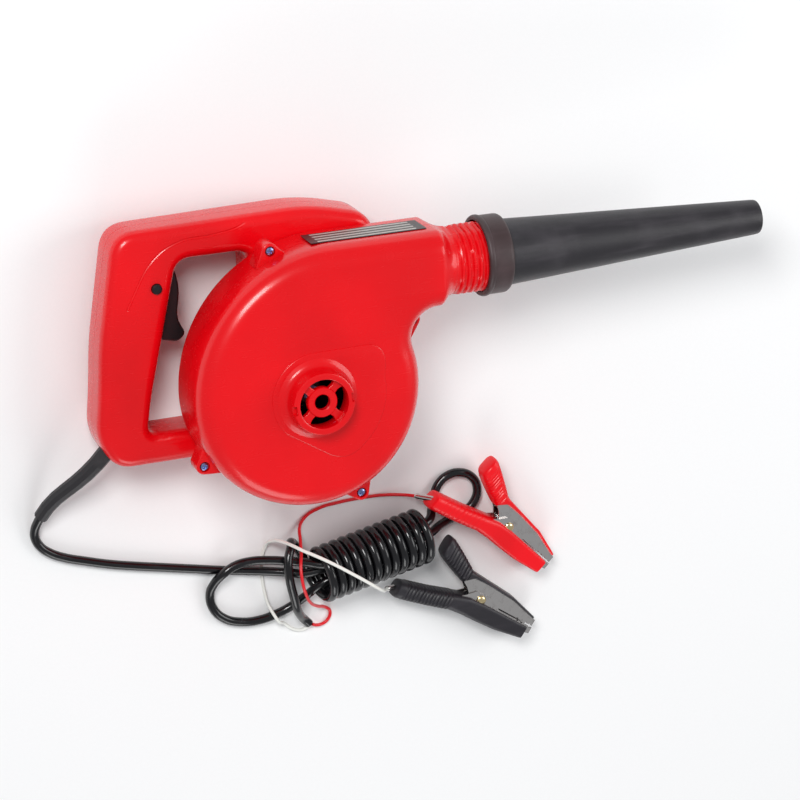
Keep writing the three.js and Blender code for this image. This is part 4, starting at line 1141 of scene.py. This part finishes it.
    def build(self) -> None:
        """Builds both halves, the raised face, the grille and the screw lugs."""
        boss = [
            (28.2, 97.0), (26.4, 97.25), (25.3, 97.9), (23.4, 98.4), (21.6, 99.6), (20.5, 101.6),
            (20.0, 104.0), (20.0, 110.2), (19.75, 110.75), (19.2, 111.0), (16.5, 111.0), (15.9, 110.75),
            (15.7, 110.2), (15.7, 106.0), (15.7, 102.0), (17.0, 97.0), (19.5, 95.0), (22.6, 94.4),
        ]
        front = self.half(self.front, 13.0, boss, 22.6).piece("front_case", Finish.HOUSING, 28)
        notches = []
        for angle in (0.1, math.pi + 0.1):
            cut = moved(brick((17.8, -3, 107.6), (21, 3, 112)), Matrix.Rotation(angle, 4, "Z"))
            notches.append(cut.piece("notch", Finish.HOUSING))
        combine(front, notches, "DIFFERENCE", 28)
        fit(front, "housing", "red_plastic", "fan_cover")
        shaft_hole = [(7.3, 46.0), (7.3, 48.6)]
        back = self.half(self.back, 6.0, shaft_hole, 7.3).piece("rear_case", Finish.HOUSING, 28)
        fit(back, "housing", "red_plastic", "front_housing")
        self.raised_face()
        self.grille()
        self.lugs()

    def raised_face(self) -> None:
        """The slightly raised part of the front face that sweeps round the intake."""
        outline = arc((0, 0), (29.5, 29.5), 96, 226, 40)
        outline += rounded([(-20.5, -21.2, 0), (18, -46, 16), (30, -34.2, 0)], 14)[1:-1]
        outline += arc((0, 0), (45.5, 45.5), 311, 370, 30)
        outline += rounded([(46, 8, 0), (45.5, 30.3, 14), (-2, 28.8, 0)], 12)[1:-1]
        ring = arc((0, 0), (24.0, 24.0), 360, 0, 64)[:-1]
        plate = slab(outline, 96.0, 97.7, 0.8, ring, 4).piece("raised_face", Finish.HOUSING, 28)
        fit(plate, "housing", "red_plastic")

    def grille(self) -> None:
        """The intake's recessed grille: four spokes, widening to the rim, round a hub."""
        hub = lathe(
            [(5.0, 103.2), (9.7, 103.2), (9.7, 106.5), (9.2, 107.1), (5.6, 107.1), (5.0, 106.6)], 72, True
        ).piece("intake_grille", Finish.HOUSING, 28)
        spokes = []
        for n in range(4):
            edge = [(8.6, -2.9), (12.0, -2.5), (14.4, -3.1), (16.4, -5.0)]
            outline = [*edge, *((x, -y) for x, y in reversed(edge))]
            spoke = slab(outline, 103.2, 106.3, 0.6, steps=4)
            turned = moved(spoke, Matrix.Rotation(math.radians(45 + 90 * n), 4, "Z"))
            spokes.append(turned.piece(f"spoke_{n}", Finish.HOUSING))
        combine(hub, spokes, "UNION")
        fit(hub, "housing", "red_plastic")

    def lugs(self) -> None:
        """The lugs that the case's four screws go through."""
        for n, (x, y, lean) in enumerate(CASE_SCREWS, 1):
            out = Vector((math.cos(lean), math.sin(lean)))
            side = Vector((-out.y, out.x))
            tip = math.degrees(lean)
            outline = arc((x, y), (5.2, 5.2), tip - 55, tip + 55, 16)
            outline += [tuple(Vector((x, y)) + side * way * 11.5 - out * 8) for way in (1, -1)]
            halves = (("front", self.parting + self.gap, 77.0), ("rear", 62.5, self.parting - self.gap))
            for name, low, high in halves:
                edge = 1.0 if name == "front" else -1.0
                base, face = (low, high) if edge > 0 else (high, low)
                lug = slab(outline, base, face, 1.0, steps=4).piece(f"{name}_lug_{n}", Finish.HOUSING)
                if name == "front":
                    bore = lathe([(0, 74.6), (3.3, 74.6), (3.3, 79), (0, 79)], 40)
                    bore = moved(bore, Matrix.Translation((x, y, 0)))
                    combine(lug, [bore.piece("bore", Finish.HOUSING)], "DIFFERENCE")
                fit(lug, "housing", "red_plastic")


@dataclass
class Handle:
    """The D handle and the motor cover, parted at the middle of the grip."""

    back: float = 12.0
    front: float = 48.0
    split: float = 30.0
    gap: float = 0.15
    round: float = 7.0
    wall: float = 2.6
    cover_radius: float = 46.0
    outline: tuple[tuple[float, ...], ...] = (
        (-117, -46, 11), (10, -46), (34, -26), (44, 20), (46, 66), (63, 82, 9), (55, 99, 9), (18, 108.5, 18),
        (-110, 106, 15), (-123, 33, 14), (-125, 6, 9), (-128.5, -25, 11),
    )
    opening: tuple[tuple[float, ...], ...] = (
        (-95.5, -26, 7), (-24, -26, 1), (-24, 84.5, 8), (-70, 84.5, 9), (-91, -1.5, 8),
    )
    trigger_spot: Point3 = (-77.2, 55.0, 30.0)
    lean: float = -13.8
    lock_spot: Point = (-85.0, 69.0)
    screws: tuple[Point, ...] = ((-101, 90), (-115.5, -13), (-66, -33.5), (30, 97))
    heel: Point3 = (-110.5, -27.9, 30.0)
    seam_line: tuple[Point, ...] = (
        (-21.2, 106.3), (-31.7, 101.1), (-48.9, 98.4), (-66, 97.6), (-79.9, 92.3), (-90.5, 82.4), (-97.8, 70),
        (-104.5, 57.5),
    )

    def shape(self, base: float, face: float, wall: float) -> Skin:
        """The handle's solid between a base and a face, drawn in by a wall."""
        outer = drawn_in(spaced(rounded(self.outline), 6), wall)
        inner = drawn_in(list(reversed(spaced(rounded(self.opening), 6))), wall)
        return slab(outer, base, face, self.round - wall, inner, 8)

    def post(self, spot: Point, radius: float, low: float, high: float) -> Skin:
        """An upright round solid at a spot."""
        solid = lathe([(0, low), (radius, low), (radius, high), (0, high)], 40)
        return moved(solid, Matrix.Translation((*spot, 0)))

    def slot(self) -> bpy.types.Object:
        """What the trigger slides in."""
        block = brick((-8.6, -20.3, -7.8), (20, 20.3, 7.8))
        turn = Matrix.Translation(self.trigger_spot) @ Matrix.Rotation(math.radians(self.lean), 4, "Z")
        return moved(block, turn).piece("slot", Finish.HOUSING)

    def guard_hole(self) -> bpy.types.Object:
        """The round hole that the cord guard stands in."""
        start = Vector(self.heel)
        way = Vector((-0.7, -0.71, 0)).normalized()
        path = [start, start + way * 12, start + way * 30]
        return pipe(path, lambda s: 5.9, 32).piece("guard_hole", Finish.HOUSING)

    def groove(self, line: Sequence[Point], height: float, radius: float) -> bpy.types.Object:
        """A shallow groove along a line on a face."""
        path = smooth_path([(x, y, height) for x, y in line], 2.0)
        return pipe(path, lambda s: radius, 10).piece("groove", Finish.HOUSING)

    def build(self) -> None:
        """Builds the front and rear halves."""
        base = self.split + self.gap
        front = self.shape(base, self.front, 0).piece("handle_front", Finish.HOUSING, 28)
        drum = self.post((0, 0), self.cover_radius, base, self.front)
        combine(front, [drum.piece("drum", Finish.HOUSING)], "UNION")
        hollow = self.shape(base - 1, self.front - self.wall, self.wall).piece("hollow", Finish.HOUSING)
        room = self.post((0, 0), self.cover_radius - self.wall, base - 1, self.front - 1.2)
        lock = self.post(self.lock_spot, 3.5, self.split + 4, self.front + 2)
        cuts = [
            hollow, room.piece("room", Finish.HOUSING), self.slot(), lock.piece("lock_hole", Finish.HOUSING),
            self.guard_hole(), self.groove(self.seam_line, self.front + 0.15, 0.9),
        ]
        combine(front, cuts, "DIFFERENCE", 28)
        fit(front, "housing", "red_plastic")
        self.rear(self.split - self.gap)

    def rear(self, base: float) -> None:
        """The motor cover with the rear half of the grip.

        Args:
            base: height of the parting face.
        """
        rear = self.shape(base, self.back, 0).piece("handle_rear", Finish.HOUSING, 28)
        outside = [
            (0, base), (46, base), (46, 12), (45.4, 8.6), (44.0, 5.4), (42.0, 2.8), (39.6, 1.0),
            (36.8, 0.1), (35.5, 0), (0, 0),
        ]
        dome = lathe(outside, 120)
        combine(rear, [dome.piece("dome", Finish.HOUSING)], "UNION")
        hollow = self.shape(base + 1, self.back + self.wall, self.wall).piece("hollow", Finish.HOUSING)
        inside = [
            (0, base + 1), (43.4, base + 1), (43.4, 12), (41.6, 7.2), (38.4, 3.4), (35.0, 2.6), (0, 2.6),
        ]
        room = lathe(inside)
        combine(rear, [hollow, room.piece("room", Finish.HOUSING)], "DIFFERENCE")
        posts = [self.post(s, 5.2, self.back + 1.3, base).piece("post", Finish.HOUSING) for s in self.screws]
        combine(rear, posts, "UNION")
        cuts = [self.slot(), self.guard_hole()]
        bores = [self.post(s, 3.2, self.back - 1, self.back + 4) for s in self.screws]
        cuts += [bore.piece("bore", Finish.HOUSING) for bore in bores]
        for n in range(8):
            turn = Matrix.Rotation(math.pi / 4 * n, 4, "Z")
            cuts.append(moved(brick((17, -1.6, -1), (30, 1.6, 4)), turn).piece("vent", Finish.HOUSING))
        for n in range(9):
            turn = Matrix.Rotation(-1.3 + n * 0.31, 4, "Z")
            cuts.append(moved(brick((36, -1.6, 6.4), (48, 1.6, 11)), turn).piece("vent", Finish.HOUSING))
        combine(rear, cuts, "DIFFERENCE", 28)
        fit(rear, "housing", "red_plastic", "rear_housing")


# ---- Outlet, controls and small pieces --------------------------------------------------------


@dataclass
class Outlet:
    """The long nozzle and the screw collar that holds it."""

    y: float = OUTLET_Y
    z: float = OUTLET_Z

    def build(self) -> None:
        """Builds the nozzle and the collar."""
        tube = [
            (18.9, 131.3), (22.8, 131.3), (22.8, 132.8), (21.4, 133.2), (21.3, 136), (11.45, 311),
            (11.2, 313.4), (10.9, 314.1), (10.4, 314.3), (9.5, 314.3), (9.1, 313.9), (9.1, 311),
            (19.0, 140), (18.9, 136),
        ]
        nozzle = moved(lathe(self.fine(tube), 120, True), self.axis()).piece("nozzle", Finish.NOZZLE)
        fit(nozzle, "nozzle", "dark_nozzle", "nozzle_tube")
        ring = [
            (23.1, 118.0), (24.9, 118.0), (25.6, 118.5), (26.0, 119.4), (26.0, 120.8), (25.7, 121.6),
            (25.3, 122.0), (25.3, 132.2), (25.1, 133.6), (24.4, 134.6), (23.4, 135.0), (21.8, 135.0),
            (21.7, 134.0), (23.1, 133.4), (23.1, 128.0),
        ]
        collar = moved(lathe(ring, 120, True), self.axis()).piece("collar_ring", Finish.COLLAR)
        fit(collar, "collar", "brown_collar", "nozzle_collar")

    def axis(self) -> Matrix:
        """Turns a profile of radius and distance along X onto the outlet's axis."""
        turn = Matrix(((0, 0, 1, 0), (1, 0, 0, 0), (0, 1, 0, 0), (0, 0, 0, 1)))
        return Matrix.Translation((0, self.y, self.z)) @ turn

    def fine(self, profile: Sequence[Point]) -> list[Point]:
        """A profile with its long stretches divided."""
        return spaced(profile, 12)


@dataclass
class Controls:
    """The trigger, the lock button and the rating label."""

    spring_back: float = -20.5
    spring_seat: float = -7.0
    travel: float = 6.0
    coil_radius: float = 4.0
    spring_wire: float = 0.6

    def build(self, handle: Handle) -> None:
        """Dresses the controls and builds the trigger's spring.

        Args:
            handle: the handle that they are set in.
        """
        finishes = {"trigger": Finish.TRIGGER, "lock_button": Finish.TRIGGER, "rating_label": Finish.LABEL}
        for name, finish in finishes.items():
            dress(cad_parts[name], finish)
            LOG.info("%s dressed", name)
        self.spring(handle)

    def spring(self, handle: Handle) -> None:
        """The trigger's return spring, built as a fixed coil; the real one shortens as the trigger is pulled.

        Args:
            handle: the handle that it is set in.
        """
        turn = Matrix.Translation(handle.trigger_spot) @ Matrix.Rotation(math.radians(handle.lean), 4, "Z")
        back, seat, turns, steps = self.spring_back, self.spring_seat, 5, 24
        coil = []
        for i in range(turns * steps + 1):
            angle = 2 * math.pi * i / steps
            x = back + (seat - back) * i / (turns * steps)
            round_axis = (self.coil_radius * math.cos(angle), self.coil_radius * math.sin(angle))
            coil.append(turn @ Vector((x, *round_axis)))
        piece = pipe(coil, lambda s: self.spring_wire, 12).piece("return_spring", Finish.SPRING)
        fit(piece, "housing", "spring_steel", "trigger_spring")
        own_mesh(piece)


@dataclass
class Screws:
    """Pan-head screws with a cross recess."""

    head_radius: float = 2.7
    head_height: float = 1.8
    case_seat: float = 74.9
    case_length: float = 11.0
    grip_depth: float = 3.7
    grip_length: float = 14.0

    def screw(self, name: str, spot: Point, seat: float, way: int, length: float) -> bpy.types.Object:
        """Builds one screw.

        Args:
            name: its name.
            spot: its place.
            seat: the height that its head sits at.
            way: 1 where the head is up.
            length: the length of its shank.

        Returns:
            The screw.
        """
        top = self.head_height
        rim = self.head_radius
        shank = [(0, -length), (0.9, -length), (1.25, -length + 1.2), (1.25, 0)]
        head = [
            (rim - 0.2, 0), (rim, 0.25), (rim, top * 0.45), (rim * 0.86, top * 0.78), (rim * 0.55, top * 0.95),
            (0, top),
        ]
        body = lathe(shank + head, 40)
        turn = Matrix.Translation((*spot, seat)) @ Matrix.Diagonal((1, way, way, 1))
        piece = moved(body, turn).piece(name, Finish.ZINC)
        cross = []
        for angle in (0.5, 0.5 + math.pi / 2):
            bar = brick((-1.6, -0.32, top - 0.9), (1.6, 0.32, top + 1))
            turned = moved(bar, turn @ Matrix.Rotation(angle, 4, "Z"))
            cross.append(turned.piece("cross", Finish.ZINC))
        combine(piece, cross, "DIFFERENCE")
        return piece

    def build(self, handle: Handle) -> None:
        """Builds the case's and the handle's screws.

        Args:
            handle: the handle with its screws' places.
        """
        for n, (x, y, _) in enumerate(CASE_SCREWS, 1):
            piece = self.screw(f"case_screw_{n}", (x, y), self.case_seat, 1, self.case_length)
            fit(piece, "housing", "zinc_screws", f"cover_screw_{n}")
        for n, spot in enumerate(handle.screws, 1):
            piece = self.screw(f"grip_screw_{n}", spot, handle.back + self.grip_depth, -1, self.grip_length)
            fit(piece, "housing", "zinc_screws", f"handle_screw_{n}")


@dataclass
class Clamp:
    """A battery clamp: two sprung jaws with soft sleeves over their grips."""

    colour: str
    pivot: Point3
    heading: float
    tilt: float
    sleeve: Finish
    fixed_ribs: tuple[float, float, float, float]
    moving_ribs: tuple[float, float, float, float]
    wire_end: Point3
    sheet: float = 1.0
    pin: float = 2.2

    @property
    def frame(self) -> Matrix:
        """The clamp's own frame: X towards the jaws' tips, Z along the rivet."""
        heading = Matrix.Rotation(math.radians(self.heading), 4, "Z")
        tilt = Matrix.Rotation(math.radians(self.tilt), 4, "Y")
        return Matrix.Translation(self.pivot) @ (heading @ tilt)

    def loft(
        self, stations: Sequence[tuple[float, ...]], ribs: tuple[float, ...], side: int, name: str
    ) -> bpy.types.Object:
        """A sleeve through stations along the clamp.

        Args:
            stations: for each, its place along, lower and upper edge, half width and squareness.
            ribs: where the ribs start and end, their pitch and their depth.
            side: 1 for the half as drawn and -1 for its mirror image.
            name: the piece's name.

        Returns:
            The piece.
        """
        skin = Skin()
        rows: list[list[int]] = []
        start, end, pitch, depth = ribs
        x = stations[0][0]
        while x <= stations[-1][0] + 1e-6:
            place = next(i for i, s in enumerate(stations[1:]) if x <= s[0] + 1e-6)
            before, after = stations[place], stations[place + 1]
            share = (x - before[0]) / (after[0] - before[0])
            low, high, half, square = (b + (a - b) * share for b, a in zip(before[1:], after[1:]))
            wave = abs(math.sin(math.pi * (x - start) / pitch)) ** 0.7 if start <= x <= end else 0.6
            shrink = depth * (1 - wave)
            section = self.oval(x, (low + high) / 2, (high - low) / 2 - shrink, half - shrink, square, side)
            rows.append(skin.row(section))
            x += 0.45 if start - 1 <= x <= end + 1 or x < stations[1][0] or x > stations[-2][0] else 1.1
        skin.rings(rows)
        skin.faces += [tuple(reversed(rows[0])), tuple(rows[-1])]
        return moved(skin, self.frame).piece(name, self.sleeve, 40)

    def oval(
        self, x: float, centre: float, high: float, wide: float, square: float, side: int
    ) -> Iterable[Point3]:
        """A rounded section at a place along the clamp."""
        for i in range(48):
            c, s = math.cos(2 * math.pi * i / 48), math.sin(2 * math.pi * i / 48)
            y = math.copysign(abs(c) ** (2 / square), c) * high
            z = math.copysign(abs(s) ** (2 / square), s) * wide
            yield (x, side * (centre + y), z)

    def spring(self) -> bpy.types.Object:
        """The torsion spring round the rivet, with a leg along each arm."""
        radius, turns, reach, steps = self.pin + 1.3, 3, 3.0, 20
        count = turns * steps + steps // 2
        coil: list[Point3] = []
        for i in range(count + 1):
            angle = math.pi / 2 + 2 * math.pi * i / steps
            coil.append((radius * math.cos(angle), radius * math.sin(angle), -reach + 2 * reach * i / count))
        legs = [(-13, radius + 1.6, -reach), *coil, (-13, -radius - 1.6, reach)]
        path = smooth_path([self.frame @ Vector(p) for p in legs], 0.5)
        return pipe(path, lambda s: 0.6, 12).piece(f"{self.colour}_torsion_spring", Finish.SPRING)

    def rivet(self) -> bpy.types.Object:
        """The rivet, with a domed head at each end."""
        half = [(0, 7.7), (1.6, 7.6), (2.7, 7.2), (3.2, 6.6), (3.2, 6.3), (self.pin, 6.3)]
        profile = half + [(r, -z) for r, z in reversed(half)]
        return moved(lathe(profile, 48), self.frame).piece(f"{self.colour}_pivot_rivet", Finish.BRASS)

    def build(self) -> None:
        """Builds the sleeves, the spring, the rivet and the crimp."""
        fixed = (
            (-59.2, -24.8, -15.6, 6.0, 2.8), (-58.4, -26.2, -14.2, 7.8, 2.9), (-56.4, -26.6, -13.6, 8.4, 2.9),
            (-36.0, -21.8, -8.8, 8.9, 3.0), (-18.0, -16.8, -3.6, 9.3, 3.4), (-8.0, -15.6, -1.0, 9.4, 4.8),
            (4.0, -15.2, -0.5, 9.4, 6.5), (20.0, -14.2, -0.5, 9.4, 7.0), (39.8, -11.0, -0.5, 9.3, 7.0),
            (40.8, -10.7, -0.7, 9.1, 7.0), (41.2, -10.2, -1.2, 8.6, 6.0),
        )
        moving = (
            (-43.6, -27.0, -15.4, 5.2, 3.2), (-42.8, -28.4, -14.0, 6.8, 3.2), (-41.0, -28.6, -12.6, 7.4, 3.0),
            (-30.0, -23.2, -8.4, 7.7, 3.0), (-18.6, -17.0, -4.6, 7.8, 3.0), (-16.6, -15.8, -6.4, 7.8, 3.4),
            (-13.0, -14.8, -10.0, 7.6, 3.6), (0.0, -13.9, -10.4, 7.2, 3.6), (22.0, -12.4, -9.0, 7.0, 3.6),
            (42.6, -7.4, -4.4, 6.4, 3.4), (43.2, -6.9, -4.8, 5.8, 3.0),
        )
        slot = f"{self.colour}_sleeve"
        near = self.loft(fixed, self.fixed_ribs, 1, f"{self.colour}_long_sleeve")
        fit(near, "housing", slot, f"{self.colour}_clamp_fixed_sleeve")
        far = self.loft(moving, self.moving_ribs, -1, f"{self.colour}_short_sleeve")
        fit(far, f"{self.colour}_jaw", slot, f"{self.colour}_clamp_moving_sleeve")
        fit(self.spring(), "housing", "spring_steel", f"{self.colour}_clamp_spring")
        fit(self.rivet(), "housing", "brass_parts", f"{self.colour}_clamp_rivet")
        end, grip = Vector(self.wire_end), self.frame @ Vector((-58.4, -20.2, 0))
        way = (grip - end).normalized()
        crimp = pipe([end - way * 1.5, end, end + way * 2.0, grip, grip + way * 2.0],
                     lambda s: 1.45 if s < 0.1 else 1.9, 20)
        fit(crimp.piece(f"{self.colour}_crimp", Finish.NICKEL), "housing", "plated_steel")


def plain_nodes() -> None:
    """Gives every CAD node that still shows its own finish."""
    finishes = {
        "impeller": Finish.FAN, "fan_nut": Finish.ZINC, "motor_shaft": Finish.STEEL,
        "armature": Finish.COPPER, "commutator": Finish.BRASS, "motor_can": Finish.STEEL,
        "motor_end_cap": Finish.TRIGGER,
        "front_bush": Finish.BRASS, "rear_bush": Finish.BRASS, "magnet": Finish.FERRITE,
        "brush": Finish.FERRITE, "motor_screw": Finish.ZINC, "switch_body": Finish.TRIGGER,
        "supply_to_switch": Finish.CORD, "supply_to_motor": Finish.WIRE_RED,
        "switch_to_motor": Finish.CORD,
        "cord_guard": Finish.GUARD, "cord_clamp": Finish.TRIGGER, "cord_inside": Finish.CORD,
        "fixed_jaw": Finish.NICKEL, "moving_jaw": Finish.NICKEL,
    }
    for name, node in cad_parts.items():
        for key, finish in finishes.items():
            if key in name and not node.hide_render:
                for place in node.material_slots:
                    place.material = finish.get()
                LOG.info("%s finished as %s", name, finish.value.name)
                break


def main() -> None:
    """Builds the blower and its studio."""
    logging.basicConfig(level=logging.INFO, format="%(message)s")
    Studio().build()
    Supply().build(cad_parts["cord_guard"])
    handle = Handle()
    Volute().build()
    handle.build()
    Outlet().build()
    Controls().build(handle)
    Screws().build(handle)
    Clamp(
        colour="red", pivot=(155.8, -138.6, 14.0), heading=-47.2, tilt=5.4, sleeve=Finish.SLEEVE_RED,
        fixed_ribs=(-54.0, -20.0, 3.4, 0.35), moving_ribs=(-40.0, -18.0, 1.9, 0.9), wire_end=(94, -109, 12.5),
    ).build()
    Clamp(
        colour="black", pivot=(135.9, -189.6, 10.6), heading=-35.8, tilt=0.0, sleeve=Finish.SLEEVE_BLACK,
        fixed_ribs=(-54.0, -20.0, 2.5, 0.9), moving_ribs=(-40.0, -17.0, 2.5, 1.2), wire_end=(70, -170, 14.5),
    ).build()
    plain_nodes()


if __name__ == "__main__":
    main()
